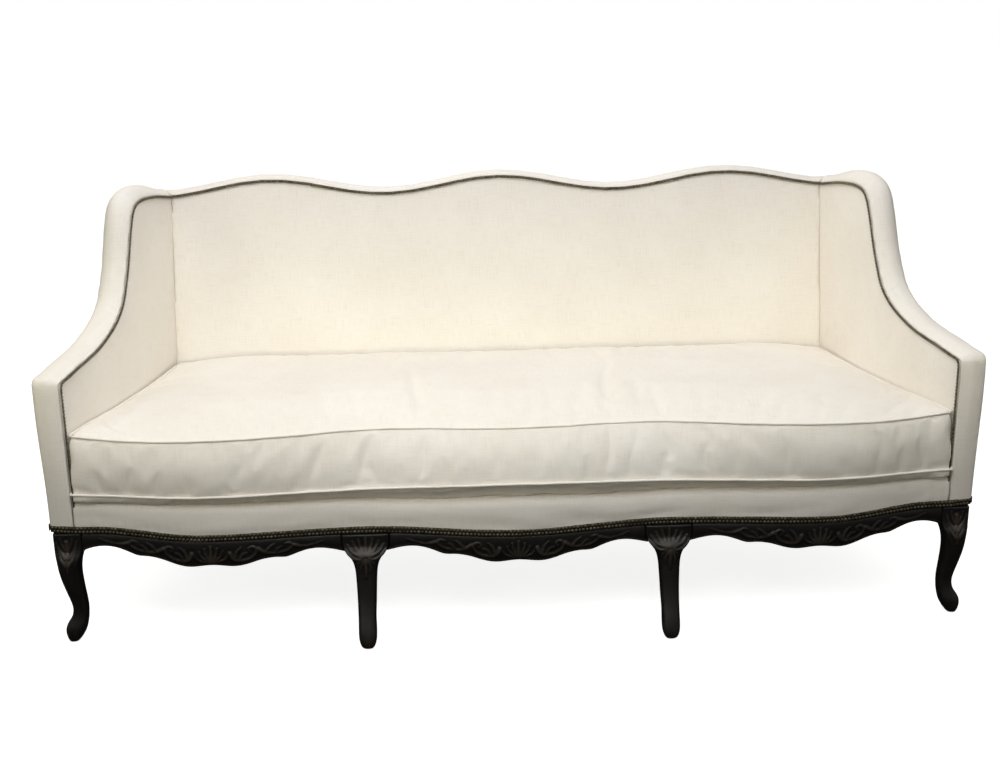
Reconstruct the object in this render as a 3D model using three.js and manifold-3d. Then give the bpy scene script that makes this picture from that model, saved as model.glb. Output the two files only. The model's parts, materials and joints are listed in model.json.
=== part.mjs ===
// A long French sofa with wings: a carved wooden base on four cabriole legs in front and four plain
// legs behind, a raked back with a waved top, splayed arms that rise into wings, nailed upholstery
// over a timber frame, and one loose boxed seat cushion in a zipped cover.
// Millimetres, +Z up, the front faces -Y. Lengths along Y start at the front of the arms.
// A wall of the sofa is described by its depth from the sitting side, 0 on the sitting side.
import * as THREE from "three";
import { mergeVertices } from "three/addons/utils/BufferGeometryUtils.js";
import Module from "manifold-3d";

const wasm = await Module();
wasm.setup();

// Overall sizes
const endLegInnerX = 1018;
const armSetout = 15;
const armFrontX = endLegInnerX + armSetout;
const armSplay = THREE.MathUtils.degToRad(11.3);
const wallThickness = 67;
const woodLine = 273;
const backFaceY = 674;
const backRake = THREE.MathUtils.degToRad(7);
const armHeight = 640;
const backHeight = 939;
const wingRise = 13;
const wingHeight = backHeight + wingRise;
const backWave = 20;
const crestSpacing = 620;
const gap = 0.3;

// Layers of the arms and the back, as depths from the sitting side
const padThickness = 22;
const backPadThickness = 25;
const armFrameDepth = 57;
const backFrameDepth = 60;
const padEdgeDrop = 4;

// Border along the tops and the arm fronts
const borderUnder = 1.5;
const borderEdge = 4;
const frontCrown = 5;
const armCrown = 9;
const wingCrown = 30;
const backCrown = 17;

// Nail trims: half-round strips of close nail heads
const nailWidth = 11;
const nailRise = 3.5;
const nailInset = 5;
const baseNailHeight = 17;
const baseNailLift = 20;
const armNailLift = 40;
const nailTurn = 12;
const sideTrimStart = 18;

// Serpentine lines of the front, at the middle, at a centre leg, amid a side bay and at the ends
const legCentreX = 358;
const endLegWidth = 70;
const railFront = [-48, -20, -34, 0];
const woodTop = [252, 260, 256, woodLine];
const deckNose = [-8, 6, -20, 20];
const cushionFrontTop = [6, 24, -25, 45];
const cushionFrontBottom = [22, 23, -8, 50];

// Base
const apronDepth = 68;
const apronThickness = 32;
const apronBulge = 5;
const legBlockHalf = 59;
const sideRailBottom = 215;
const sideRailInner = 5;
const sideRailOuter = 62;
const endBlockBack = 52;
const rearRailThickness = 29;
const crossRailWidth = 30;
const crossRailTop = 300;
const rearPostSetin = 24;
const rearPostInnerX = armFrontX - backFaceY * Math.tan(armSplay) - rearPostSetin;
const rearBlockWidth = 70;
const rearFootInset = 20;
const rearFootWidth = 38;
const rearPostAboveWidth = 62;
const rearPostTopWidth = 44;
const rearPostDrop = 34;
const rearFootSweep = 82;
const rearFootDepth = 34;
const rearLegWidth = 44;
const rearLegTaper = 10;
const postShoulder = 6;
const cornerBlockLeg = 70;

// Arm and back frame
const armPostDepth = 40;
const wallRailDepth = 70;
const tackRailBottom = 380;
const tackRailHeight = 42;
const armTackThickness = 18;
const backRailDepth = 60;
const midPostWidth = 50;

// Deck, springs and webbing
const deckTop = 350;
const deckStations = 26;
const deckCoverThickness = 2.8;
const deckPadUnder = 321;
const deckLedge = 22;
const creaseHeight = 313;
const noseReach = 20;
const backPadLift = 6;
const dustBottom = 228;
const dustThickness = 1.5;
const webbingThickness = 2.5;
const webbingSetback = 56;
const webbingStrap = 50;
const webbingColumns = 9;
const webbingRows = 3;
const springWire = 5;
const springRadius = 42;
const springCurls = 3;
const springStepsPerCurl = 8;
const springWireSides = 5;

// Seat cushion
const cushionBottom = 357;
const cushionTop = 502;
const cushionFall = 20;
const cushionCrown = 20;
const crownReach = 210;
const cushionSideClearance = 8;
const cushionBackClearance = 8;
const cushionCorner = 16;
const cushionBulge = 3;
const coverThickness = 4;
const coreShoulder = 40;
const weltRadius = 3.5;
const weltSeat = 7;
const weltInset = 0.6;
const zipLength = 600;
const zipHeight = 11;
const zipThickness = 2.4;
const zipMiddle = 425;
const sliderLength = 12;
const sliderHeight = 14;
const sliderRise = 2.5;
const overrun = 6;

// Finishes
const finish = (color, roughness, metalness = 0) =>
  new THREE.MeshStandardMaterial({ color, roughness, metalness, side: THREE.DoubleSide });
const linen = finish(0xe9e3d2, 0.92);
const cushionLinen = finish(0xedeae0, 0.92);
const carvedWood = finish(0x1f1812, 0.45);
const frameWood = finish(0xb08d5f, 0.7);
const nailBronze = finish(0x6f6448, 0.4, 0.85);
const padding = finish(0xd9cfb4, 0.95);
const jute = finish(0x9c8560, 0.95);
const springSteel = finish(0x8a8d90, 0.4, 0.9);
const dustCloth = finish(0x1b1b1c, 0.95);
const zipTape = finish(0xcfc9b8, 0.8);
const zipMetal = finish(0xa8a294, 0.35, 0.9);

// Small helpers
const mix = (a, b, share) => a + (b - a) * share;
const bayCentreX = (legCentreX + legBlockHalf + endLegInnerX) / 2;
const sinSplay = Math.sin(armSplay);
const cosSplay = Math.cos(armSplay);
const tanSplay = Math.tan(armSplay);
const sinRake = Math.sin(backRake);
const cosRake = Math.cos(backRake);

// A line of the front: level at the middle, the legs, the bays and the ends, with cosine runs between
function serpentine(x, levels) {
  const places = [0, legCentreX, bayCentreX, endLegInnerX];
  const across = Math.min(Math.abs(x), endLegInnerX);
  const index = places.findIndex((place, at) => at > 0 && across <= place);
  const share = (across - places[index - 1]) / (places[index] - places[index - 1]);
  return mix(levels[index - 1], levels[index], (1 - Math.cos(Math.PI * share)) / 2);
}

// The open line, moved sideways by a distance: to the right of its course where that is positive
function offsetLine(line, distance) {
  return line.map(([a, b], index) => {
    const [a0, b0] = line[Math.max(index - 1, 0)];
    const [a1, b1] = line[Math.min(index + 1, line.length - 1)];
    const before = Math.hypot(a - a0, b - b0) || Infinity;
    const after = Math.hypot(a1 - a, b1 - b) || Infinity;
    const normalA = (b - b0) / before + (b1 - b) / after;
    const normalB = -(a - a0) / before - (a1 - a) / after;
    const reach = (normalA ** 2 + normalB ** 2) / (before < Infinity && after < Infinity ? 2 : 1);
    return [a + (normalA / reach) * distance, b + (normalB / reach) * distance];
  });
}

// A closed body from points and faces, turned so that its faces point outwards
function closedBody(points, faces) {
  let volume = 0;
  for (const [i, j, k] of faces) {
    volume += points[i].dot(new THREE.Vector3().crossVectors(points[j], points[k]));
  }
  const turned = volume < 0 ? faces.map(([i, j, k]) => [i, k, j]) : faces;
  const geometry = new THREE.BufferGeometry().setFromPoints(points);
  geometry.setIndex(turned.flat());
  geometry.computeVertexNormals();
  return geometry;
}

// The triangles that close a ring of points, found in the plane where the ring is widest
function capFaces(ring, first) {
  const normal = new THREE.Vector3();
  ring.forEach((point, index) => {
    const next = ring[(index + 1) % ring.length];
    normal.add(new THREE.Vector3().crossVectors(point, next));
  });
  const axisA = new THREE.Vector3().subVectors(ring[1], ring[0]).normalize();
  normal.normalize();
  axisA.addScaledVector(normal, -axisA.dot(normal)).normalize();
  const axisB = new THREE.Vector3().crossVectors(normal, axisA);
  const flat = ring.map((point) => new THREE.Vector2(point.dot(axisA), point.dot(axisB)));
  return THREE.ShapeUtils.triangulateShape(flat, []).map((face) => face.map((corner) => corner + first));
}

// A skin over rings that have the same number of points: capped at both ends, or closed on itself
function loft(rings, ringsClose = false) {
  const count = rings[0].length;
  const faces = [];
  const spans = ringsClose ? rings.length : rings.length - 1;
  for (let ring = 0; ring < spans; ring += 1) {
    const here = ring * count;
    const there = ((ring + 1) % rings.length) * count;
    for (let point = 0; point < count; point += 1) {
      const next = (point + 1) % count;
      faces.push([here + point, there + point, there + next], [here + point, there + next, here + next]);
    }
  }
  if (!ringsClose) {
    capFaces(rings[0], 0).forEach(([i, j, k]) => faces.push([i, j, k]));
    capFaces(rings.at(-1), count * (rings.length - 1)).forEach(([i, j, k]) => faces.push([i, k, j]));
  }
  return closedBody(rings.flat(), faces);
}

// A block between two corners
function block(x0, x1, y0, y1, z0, z1) {
  const geometry = new THREE.BoxGeometry(x1 - x0, y1 - y0, z1 - z0);
  return geometry.translate((x0 + x1) / 2, (y0 + y1) / 2, (z0 + z1) / 2);
}

function toSolid(geometry) {
  const bare = geometry.clone();
  bare.deleteAttribute("normal");
  bare.deleteAttribute("uv");
  const merged = mergeVertices(bare);
  const vertProperties = new Float32Array(merged.attributes.position.array);
  const triVerts = new Uint32Array(merged.index.array);
  return new wasm.Manifold(new wasm.Mesh({ numProp: 3, vertProperties, triVerts }));
}

function cutFrom(geometry, ...cutters) {
  const mesh = cutters.reduce((left, cutter) => left.subtract(toSolid(cutter)), toSolid(geometry)).getMesh();
  const result = new THREE.BufferGeometry();
  result.setAttribute("position", new THREE.BufferAttribute(new Float32Array(mesh.vertProperties), 3));
  result.setIndex(Array.from(mesh.triVerts));
  result.computeVertexNormals();
  return result;
}

function addPiece(parent, name, geometry, material) {
  const mesh = new THREE.Mesh(geometry, material);
  mesh.name = name;
  parent.add(mesh);
  return mesh;
}

// The groups: the whole sofa, its two mirrored sides, each arm's own frame and the raked back
const sofa = new THREE.Group();
sofa.name = "sofa";
const sides = ["left", "right"].map((name) => {
  const side = new THREE.Group();
  side.scale.x = name === "left" ? -1 : 1;
  const arm = new THREE.Group();
  arm.position.set(armFrontX, 0, 0);
  arm.rotation.z = armSplay;
  side.add(arm);
  sofa.add(side);
  return { name, side, arm };
});
const back = new THREE.Group();
back.position.set(0, backFaceY, woodLine);
back.rotation.x = -backRake;
sofa.add(back);

// Places in the raked back's frame: depth behind its sitting face, and height along it
const backWorldY = (depth, height) => backFaceY + depth * cosRake + height * sinRake;
const backWorldZ = (depth, height) => woodLine - depth * sinRake + height * cosRake;
const backHeightAt = (z, depth = 0) => (z - woodLine + depth * sinRake) / cosRake;
const backFaceAt = (z, depth = 0) => backFaceY + depth / cosRake + ((z - woodLine) * sinRake) / cosRake;
const armFaceX = (y, depth = 0) => armFrontX + depth / cosSplay - y * tanSplay;

// Places in an arm's frame: depth outwards from its sitting face, and length along it
const armLengthAtY = (depth, y) => (y - depth * sinSplay) / cosSplay;
const armLengthAtBack = (depth, z, backDepth) => armLengthAtY(depth, backFaceAt(z, backDepth));

// The mitre where an arm's border meets the back's border, from the inner to the outer corner
function mitre(z, share) {
  const innerY = backFaceAt(z);
  const outerY = backFaceAt(z, wallThickness);
  const outerX = armFaceX(outerY, wallThickness);
  return { x: mix(armFaceX(innerY), outerX, share), y: mix(innerY, outerY, share) };
}

const armMitreLength = (depth, z) => {
  const { x, y } = mitre(z, depth / wallThickness);
  return (armFrontX - x) * sinSplay + y * cosSplay;
};

// The back's nail line, in the back's own frame
const cornerRunShare = 0.2;
const cornerRun = wallThickness * cornerRunShare;
const cornerX = armFaceX(backFaceAt(backHeight)) - cornerRun;
const backNailZ = (x) => backHeight + backWave * Math.cos((2 * Math.PI * x) / crestSpacing);
const backNailLine = [[-cornerX - wallThickness, backHeightAt(backNailZ(cornerX))]];
const backNailSteps = 30;
for (let step = 0; step <= backNailSteps; step += 1) {
  const x = mix(-cornerX, cornerX, step / backNailSteps);
  backNailLine.push([x, backHeightAt(backNailZ(x))]);
}
backNailLine.push([cornerX + wallThickness, backHeightAt(backNailZ(cornerX))]);

// The arm's nail line: up the front, round the front corner and back along the arm and the wing.
// The shares are of the arm's length, and of the rise from the arm's height to the wing's.
const armLength = armLengthAtBack(0, backHeight, 0);
const armTopShares = [
  [0.146, 0.02], [0.27, 0.042], [0.3625, 0.09], [0.4446, 0.16], [0.506, 0.266], [0.542, 0.4], [0.578, 0.567],
  [0.605, 0.73], [0.6375, 0.897], [0.671, 0.978], [0.731, 1], [0.808, 0.985], [0.877, 0.96],
];
const armPostBack = nailInset + borderUnder + gap + armPostDepth;
const topControls = [[nailInset + nailTurn, armHeight - gap], [armPostBack, armHeight]];
armTopShares.forEach(([along, rise]) => {
  topControls.push([along * armLength, mix(armHeight, wingHeight, rise)]);
});
topControls.push([armLength - cornerRun, backNailZ(cornerX)]);
const topCurve = new THREE.SplineCurve(topControls.map(([u, z]) => new THREE.Vector2(u, z)));
const pointsPerControl = 2;
const topLine = topCurve.getPoints((topControls.length - 1) * pointsPerControl).map(({ x, y }) => [x, y]);
const turnShares = [[0, 1.2], [0, 1], [0.3, 0.3]];
const cornerLine = turnShares.map(([a, b]) => [nailInset + nailTurn * a, armHeight - gap - nailTurn * b]);
const wallLine = [...cornerLine, ...topLine];
const cornerFall = (wallThickness + cornerRun) * Math.tan(backRake);
wallLine.push([armLength + wallThickness, backNailZ(cornerX) - cornerFall]);
const postBackStation = cornerLine.length + pointsPerControl;
const frontLine = (bottom) => [bottom, (bottom + armHeight) / 2].map((z) => [nailInset, z]);

// How far a border stands above its nail line at its middle: most on the wing, less towards the back
const wingFallShare = 0.78;
function armBorderCrown([u, z]) {
  if (u <= nailInset) return frontCrown;
  const rise = THREE.MathUtils.clamp((z - armHeight) / (wingHeight - armHeight), 0, 1);
  const fall = THREE.MathUtils.smoothstep(u, armLength * wingFallShare, armLength - cornerRun);
  return mix(mix(armCrown, wingCrown, rise), backCrown, fall);
}

// A border's section: depth across the wall, and height over the nail line for a given crown.
// The shares are of the wall's thickness, and of the rise from the border's edge to its crown.
const borderCrownShares = [[0, 0], [0.1, 0.5], [0.28, 0.9], [0.5, 1], [0.72, 0.9], [0.92, 0.35]];
function borderSection(crown) {
  const over = borderCrownShares.map(([across, up]) => [across * wallThickness, mix(borderEdge, crown, up)]);
  return [[0, -borderUnder], ...over, [wallThickness, -borderUnder]];
}

const nailSectionShares = [[0, -0.5], [0.72, -0.36], [1, 0], [0.72, 0.36], [0, 0.5]];
const nailSection = (width) => nailSectionShares
  .map(([out, along]) => [-gap - out * nailRise, along * width]);

// The left-hand side of a line going forward is outside the wall
const outsideLine = (line, rise) => offsetLine(line, -rise);

// Where the last run of a line ends, at a length that depends on the height there
function lineEnd([nearU, nearZ], [farU, farZ], endAt) {
  let z = nearZ;
  for (let pass = 0; pass < 4; pass += 1) z = mix(nearZ, farZ, (endAt(z) - nearU) / (farU - nearU));
  return [endAt(z), z];
}

// A strip on an arm: a section of depths and rises carried along a nail line
function armStrip(line, sectionAt, endAt) {
  const sections = line.map(sectionAt);
  const rings = line.map(() => []);
  sections[0].forEach((_, point) => {
    const moved = line.map((_place, station) => outsideLine(line, sections[station][point][1])[station]);
    const depth = sections[0][point][0];
    moved.push(lineEnd(moved.at(-2), moved.pop(), (z) => endAt(depth, z)));
    moved.forEach(([u, z], station) => rings[station].push(new THREE.Vector3(depth, u, z)));
  });
  return loft(rings);
}

function backStrip(line, section, endX) {
  const rings = line.map(() => []);
  for (const [depth, rise] of section) {
    outsideLine(line, rise).forEach(([x, height], station) => {
      const end = station === 0 || station === line.length - 1;
      const across = end ? Math.sign(x) * endX(depth, height) : x;
      rings[station].push(new THREE.Vector3(across, depth, height));
    });
  }
  return loft(rings);
}

// How full a pad stands at a share of its width and of its height: 0 at its edges, 1 amid it
const fullness = (share) => 1 - Math.abs(2 * share - 1) ** 4;

// A slab of an arm's wall, between two stations of its line and two depths, over a bottom height
function armSlab({ line, near, far, bottomAt, backDepth, startGap = 0, drop = 0, rows = 1 }) {
  const tops = offsetLine(line, borderUnder + gap);
  const rings = tops.map(([topU, topZ], station) => {
    const reachesBack = backDepth !== undefined && topU > armPostBack;
    const endAt = (depth, z) => armLengthAtBack(depth, z, backDepth);
    const last = reachesBack && station === tops.length - 1;
    const cornerAt = (depth) => lineEnd(tops[station - 1], tops[station], (z) => endAt(depth, z));
    const topAt = (depth) => (last ? cornerAt(depth) : [topU, topZ]);
    const place = (depth, share) => {
      const [u, top] = topAt(depth);
      const z = mix(bottomAt(top), top, share);
      if (!reachesBack) return new THREE.Vector3(depth, station === 0 ? u + startGap : u, z);
      const lean = (endAt(depth, z) - armPostBack) / (endAt(depth, top) - armPostBack);
      return new THREE.Vector3(depth, armPostBack + (u - armPostBack) * lean, z);
    };
    const ring = [];
    for (let row = 0; row <= rows; row += 1) {
      const full = fullness(station / (tops.length - 1)) * fullness(row / rows);
      ring.push(place(near + drop * (1 - full), row / rows));
    }
    ring.push(place(far, 1), place(far, 0));
    return ring;
  });
  return loft(rings);
}

// A straight bar along an arm, between two lengths that may change with the depth and height
function armBar(near, far, startAt, endAt, bottom, top) {
  const corners = [[near, bottom], [near, top], [far, top], [far, bottom]];
  const ringAt = (lengthAt) => corners.map(([depth, z]) => new THREE.Vector3(depth, lengthAt(depth, z), z));
  return loft([ringAt(startAt), ringAt(endAt)]);
}

// Base: carved aprons. The shares run from the middle of a bay to its end, with the lower edge's depth.
const apronShares = [
  [0, 0.9], [0.08, 0.94], [0.16, 1], [0.23, 0.98], [0.3, 0.9], [0.36, 0.81], [0.42, 0.75], [0.5, 0.72],
  [0.57, 0.77], [0.62, 0.69], [0.68, 0.59], [0.74, 0.51], [0.82, 0.47], [0.93, 0.53], [1, 0.7],
];

// An apron's section, from its lower back edge round the front: shares of its thickness, bulge and height
const apronSectionShares = [
  [1, 0, 0], [0, -1, 0], [0, 0.4, 0.12], [0, 1, 0.5], [0, 0.5, 0.9], [0, 0, 1], [1, 0, 1],
];

function apron(x0, x1) {
  const middle = (x0 + x1) / 2;
  const half = (x1 - x0) / 2;
  const mirrored = apronShares.slice(1).reverse().map(([share, depth]) => [-share, depth]);
  const rings = [...mirrored, ...apronShares].map(([share, depth]) => {
    const x = middle + share * half;
    const front = serpentine(x, railFront);
    const top = serpentine(x, woodTop) - gap;
    const bottom = top - depth * apronDepth;
    return apronSectionShares.map(([inward, outward, up]) =>
      new THREE.Vector3(x, front + inward * apronThickness - outward * apronBulge, mix(bottom, top, up)));
  });
  return loft(rings);
}

// Cabriole legs: stations from the foot up, each with its height, the middle of its section across and
// from front to back, and its two half widths. All are shares of the leg's height.
const legRingPoints = 12;
const legSquareness = 0.72;

function legRing(x, y, z, halfX, halfY, squareness) {
  const ring = [];
  for (let step = 0; step < legRingPoints; step += 1) {
    const angle = (2 * Math.PI * (step + 0.5)) / legRingPoints;
    const bend = (value) => Math.sign(value) * Math.abs(value) ** squareness;
    ring.push(new THREE.Vector3(x + halfX * bend(Math.cos(angle)), y + halfY * bend(Math.sin(angle)), z));
  }
  return ring;
}

function cabrioleLeg(height, x, y, stationShares) {
  const rings = stationShares.map(([z, across, along, halfX, halfY, squareness = legSquareness]) =>
    legRing(x + across * height, y + along * height, z * height, halfX * height, halfY * height, squareness));
  return loft(rings);
}

// Just behind the block at the top of a leg
function behindLeg(height, y, stationShares) {
  const [, , along, , halfY] = stationShares.at(-1);
  return y + (along + halfY) * height + gap;
}

const endLegX = endLegInnerX + endLegWidth / 2;
const endLegY = (endBlockBack + serpentine(endLegInnerX, railFront)) / 2;
const endLegShares = [
  [0, 0.026, -0.121, 0.036, 0.036], [0.029, 0.018, -0.119, 0.059, 0.066],
  [0.099, 0.002, -0.113, 0.093, 0.097], [0.158, -0.011, -0.104, 0.095, 0.097],
  [0.212, -0.04, -0.093, 0.075, 0.082], [0.271, -0.051, -0.086, 0.068, 0.075],
  [0.337, -0.053, -0.082, 0.069, 0.073], [0.472, -0.022, -0.08, 0.082, 0.09],
  [0.604, 0.002, -0.079, 0.095, 0.104], [0.692, 0.009, -0.071, 0.101, 0.115],
  [0.78, 0.006, -0.051, 0.11, 0.128, 0.5], [0.83, 0, -0.007, 0.128, 0.11, 0.25],
  [1, 0, -0.007, 0.128, 0.11, 0.25],
];
const centreLegTop = serpentine(legCentreX - legBlockHalf, woodTop);
const centreLegShares = [
  [0, 0, -0.343, 0.042, 0.039], [0.02, 0, -0.337, 0.066, 0.068],
  [0.069, 0, -0.324, 0.084, 0.094], [0.135, 0, -0.304, 0.087, 0.1],
  [0.212, 0, -0.27, 0.085, 0.09], [0.308, 0, -0.22, 0.087, 0.083],
  [0.42, 0, -0.173, 0.09, 0.082], [0.577, 0, -0.128, 0.097, 0.092],
  [0.7, 0, -0.097, 0.105, 0.102], [0.775, 0, -0.068, 0.136, 0.12, 0.65],
  [0.835, 0, -0.04, 0.187, 0.127, 0.45], [0.875, 0, 0.012, 0.225, 0.113, 0.25],
  [1, 0, 0.012, 0.225, 0.113, 0.25],
];
const centreLegY = serpentine(legCentreX, railFront) + apronThickness / 2;
const sideRailFront = behindLeg(woodLine, endLegY, endLegShares);
const crossRailFront = behindLeg(centreLegTop, centreLegY, centreLegShares);

const centreApronHalf = legCentreX - legBlockHalf - gap;
addPiece(sofa, "front_apron_centre", apron(-centreApronHalf, centreApronHalf), carvedWood);
for (const { name, side } of sides) {
  const sideApron = apron(legCentreX + legBlockHalf + gap, endLegInnerX - gap);
  addPiece(side, `front_apron_${name}`, sideApron, carvedWood);
  addPiece(side, `front_leg_${name}`, cabrioleLeg(woodLine, endLegX, endLegY, endLegShares), carvedWood);
  const centreLeg = cabrioleLeg(centreLegTop, legCentreX, centreLegY, centreLegShares);
  addPiece(side, `front_leg_centre_${name}`, centreLeg, carvedWood);
}

// Rear frame: posts that are leg and back post in one, centre legs, and the rails between them
const rearFaceY = backFaceAt(woodLine, backPadThickness) + gap;
const rearBackY = backFaceAt(woodLine, backFrameDepth);
const rearRailFront = rearFaceY + gap;
const rearPostTop = backHeight - rearPostDrop;
const ankleHeightShare = 0.35;
const ankleSweepShare = 0.5;
const calfShare = 0.4;

function rearPost() {
  const straight = [rearFaceY, rearBackY];
  const postFace = (z) => [backFaceAt(z, backPadThickness) + gap, backFaceAt(z, backFrameDepth)];
  const footFront = rearFaceY + rearFootSweep;
  const ankle = [rearFaceY + rearFootSweep * ankleSweepShare, rearBackY + rearFootSweep * ankleSweepShare];
  const blockInner = rearPostInnerX + postShoulder;
  const blockOuter = rearPostInnerX + rearBlockWidth;
  const aboveOuter = rearPostInnerX + rearPostAboveWidth - postShoulder;
  const footInner = rearPostInnerX + rearFootInset;
  const footOuter = footInner + rearFootWidth;
  const stations = [
    [0, footInner, footOuter, [footFront, footFront + rearFootDepth]],
    [sideRailBottom * ankleHeightShare, footInner, footOuter, ankle],
    [sideRailBottom, blockInner, blockOuter, straight],
    [woodLine - postShoulder, blockInner, blockOuter, straight],
    [woodLine, rearPostInnerX, aboveOuter, straight],
    [woodLine + postShoulder, rearPostInnerX, aboveOuter, postFace(woodLine + postShoulder)],
    [rearPostTop, rearPostInnerX, rearPostInnerX + rearPostTopWidth, postFace(rearPostTop)],
  ];
  return loft(stations.map(([z, inner, outer, [front, rear]]) => {
    const corners = [[inner, front], [outer, front], [outer, rear], [inner, rear]];
    return corners.map(([x, y]) => new THREE.Vector3(x, y, z));
  }));
}

function rearCentreLeg() {
  const half = rearLegWidth / 2;
  const foot = half - rearLegTaper;
  const middleY = rearRailFront + rearRailThickness / 2;
  const depth = rearRailThickness / 2;
  const calf = [sideRailBottom * calfShare, foot + rearLegTaper / 2, rearFootSweep * calfShare];
  const stations = [[0, foot, rearFootSweep], calf, [sideRailBottom - gap, half, 0]];
  return loft(stations.map(([z, width, sweep]) => {
    const corners = [[-width, -depth], [width, -depth], [width, depth], [-width, depth]];
    return corners.map(([x, y]) => new THREE.Vector3(legCentreX + x, middleY + sweep + y, z));
  }));
}

const rearRailEnd = rearPostInnerX - gap;
const rearRailBack = rearRailFront + rearRailThickness - gap;
const rearRail = block(-rearRailEnd, rearRailEnd, rearRailFront, rearRailBack, sideRailBottom, woodLine);
addPiece(sofa, "rear_seat_rail", rearRail, frameWood);
const webbingTop = dustBottom + dustThickness + gap + webbingThickness;
for (const { name, side, arm } of sides) {
  addPiece(side, `rear_post_${name}`, rearPost(), carvedWood);
  addPiece(side, `rear_leg_centre_${name}`, rearCentreLeg(), carvedWood);
  const railStart = (depth) => armLengthAtY(depth, sideRailFront);
  const railEnd = (depth) => armLengthAtY(depth, rearFaceY - gap);
  const sideRail = armBar(sideRailInner, sideRailOuter, railStart, railEnd, sideRailBottom, woodLine);
  addPiece(arm, `side_apron_${name}`, sideRail, carvedWood);
  const crossHalf = crossRailWidth / 2;
  const crossRail = block(legCentreX - crossHalf, legCentreX + crossHalf, crossRailFront, rearRailFront - gap,
    webbingTop + gap, crossRailTop);
  addPiece(side, `seat_cross_rail_${name}`, crossRail, frameWood);
  const wedgeCorners = [[0, 0], [-cornerBlockLeg, 0], [cornerBlockLeg * tanSplay, -cornerBlockLeg]];
  const wedge = new THREE.Shape(wedgeCorners.map(([x, y]) => new THREE.Vector2(x, y)));
  const wedgeHeight = woodLine - webbingTop - gap;
  const cornerBlock = new THREE.ExtrudeGeometry(wedge, { depth: wedgeHeight, bevelEnabled: false });
  const wedgeX = armFaceX(rearRailFront - gap, sideRailInner) - gap;
  cornerBlock.translate(wedgeX, rearFaceY - gap, webbingTop + gap);
  addPiece(side, `corner_block_rear_${name}`, cornerBlock, frameWood);
}

// Arm walls: post, rails, pad and outer cover, border and nail trim
const padRows = 6;
const armFrameNear = padThickness + gap;
const wallBottom = woodLine + gap;
for (const { name, arm } of sides) {
  const layer = { line: wallLine, bottomAt: () => wallBottom };
  const pad = { ...layer, near: 0, far: padThickness, backDepth: backPadThickness };
  addPiece(arm, `inside_arm_pad_${name}`, armSlab({ ...pad, drop: padEdgeDrop, rows: padRows }), linen);
  const cover = { ...layer, near: armFrameDepth + gap, far: wallThickness, backDepth: backFrameDepth };
  addPiece(arm, `outside_arm_cover_${name}`, armSlab(cover), linen);
  const frame = { near: armFrameNear, far: armFrameDepth };
  const post = { ...frame, line: wallLine.slice(0, postBackStation + 1), bottomAt: () => wallBottom };
  addPiece(arm, `arm_post_${name}`, armSlab(post), frameWood);
  const rail = { ...frame, line: wallLine.slice(postBackStation), startGap: gap, backDepth: backPadThickness };
  addPiece(arm, `arm_rail_${name}`, armSlab({ ...rail, bottomAt: (top) => top - wallRailDepth }), frameWood);
  const tackStart = () => wallLine[postBackStation][0] + gap * 2;
  const tackEnd = (depth, z) => armLengthAtBack(depth, z, backPadThickness);
  const tackFar = armFrameNear + armTackThickness;
  const tackTop = tackRailBottom + tackRailHeight;
  const tackRail = armBar(armFrameNear, tackFar, tackStart, tackEnd, tackRailBottom, tackTop);
  addPiece(arm, `arm_tack_rail_${name}`, tackRail, frameWood);
  const borderLine = [...frontLine(wallBottom), ...wallLine];
  addPiece(arm, `arm_border_${name}`, armStrip(borderLine, (place) => borderSection(armBorderCrown(place)),
    (depth, z) => armMitreLength(depth, z) - gap), linen);
  const trimLine = [...frontLine(woodLine + armNailLift), ...wallLine];
  addPiece(arm, `nail_trim_arm_${name}`, armStrip(trimLine, () => nailSection(nailWidth),
    (depth, z) => armLengthAtBack(depth, z, 0) - gap * 2), nailBronze);
  const middle = wallBottom + baseNailHeight / 2;
  const trimEnd = armLengthAtBack(wallThickness, middle, backFrameDepth);
  const trimEnds = [armLengthAtY(wallThickness, sideTrimStart), trimEnd];
  const trimAt = (u) => nailSection(baseNailHeight)
    .map(([out, along]) => new THREE.Vector3(wallThickness - out, u, middle + along));
  addPiece(arm, `nail_trim_base_${name}`, loft(trimEnds.map(trimAt)), nailBronze);
}

// Back wall: rails and posts, pad, outer cover, border and nail trim
const backTop = offsetLine(backNailLine, borderUnder + gap);

function backSlab({ near, far, endX, bottom, rows = 1, drop = 0, topDepth }) {
  const rings = backTop.map(([topX, top], station) => {
    const end = station === 0 || station === backTop.length - 1;
    const place = (depth, height) =>
      new THREE.Vector3(end ? Math.sign(topX) * endX(depth, height) : topX, depth, height);
    const low = topDepth ? top - topDepth : bottom;
    const ring = [];
    for (let row = 0; row <= rows; row += 1) {
      const full = fullness(station / (backTop.length - 1)) * fullness(row / rows);
      ring.push(place(near + drop * (1 - full), mix(low, top, row / rows)));
    }
    ring.push(place(far, top), place(far, low));
    return ring;
  });
  return loft(rings);
}

const frameNear = backPadThickness + gap * 2;
const railEndX = rearPostInnerX - gap;
const padBottom = backHeightAt(deckTop + backPadLift, backPadThickness);
addPiece(back, "inside_back_pad", backSlab({ near: 0, far: backPadThickness, bottom: padBottom, rows: padRows,
  drop: padEdgeDrop, endX: (depth, height) => armFaceX(backWorldY(depth, height)) - gap / cosSplay }), linen);
const outsideNear = backFrameDepth + gap;
addPiece(back, "outside_back_cover", backSlab({ near: outsideNear, far: wallThickness,
  bottom: backHeightAt(wallBottom, outsideNear),
  endX: (depth, height) => armFaceX(backWorldY(depth, height), wallThickness) }), linen);
const tackLow = backHeightAt(tackRailBottom);
const tackHigh = tackLow + tackRailHeight;
const tackRail = block(-railEndX, railEndX, frameNear, backFrameDepth, tackLow, tackHigh);
addPiece(back, "back_tack_rail", tackRail, frameWood);
const railEndTop = backTop.at(-1)[1];
const innerStations = backTop.filter(([x]) => Math.abs(x) < railEndX - gap);
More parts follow.
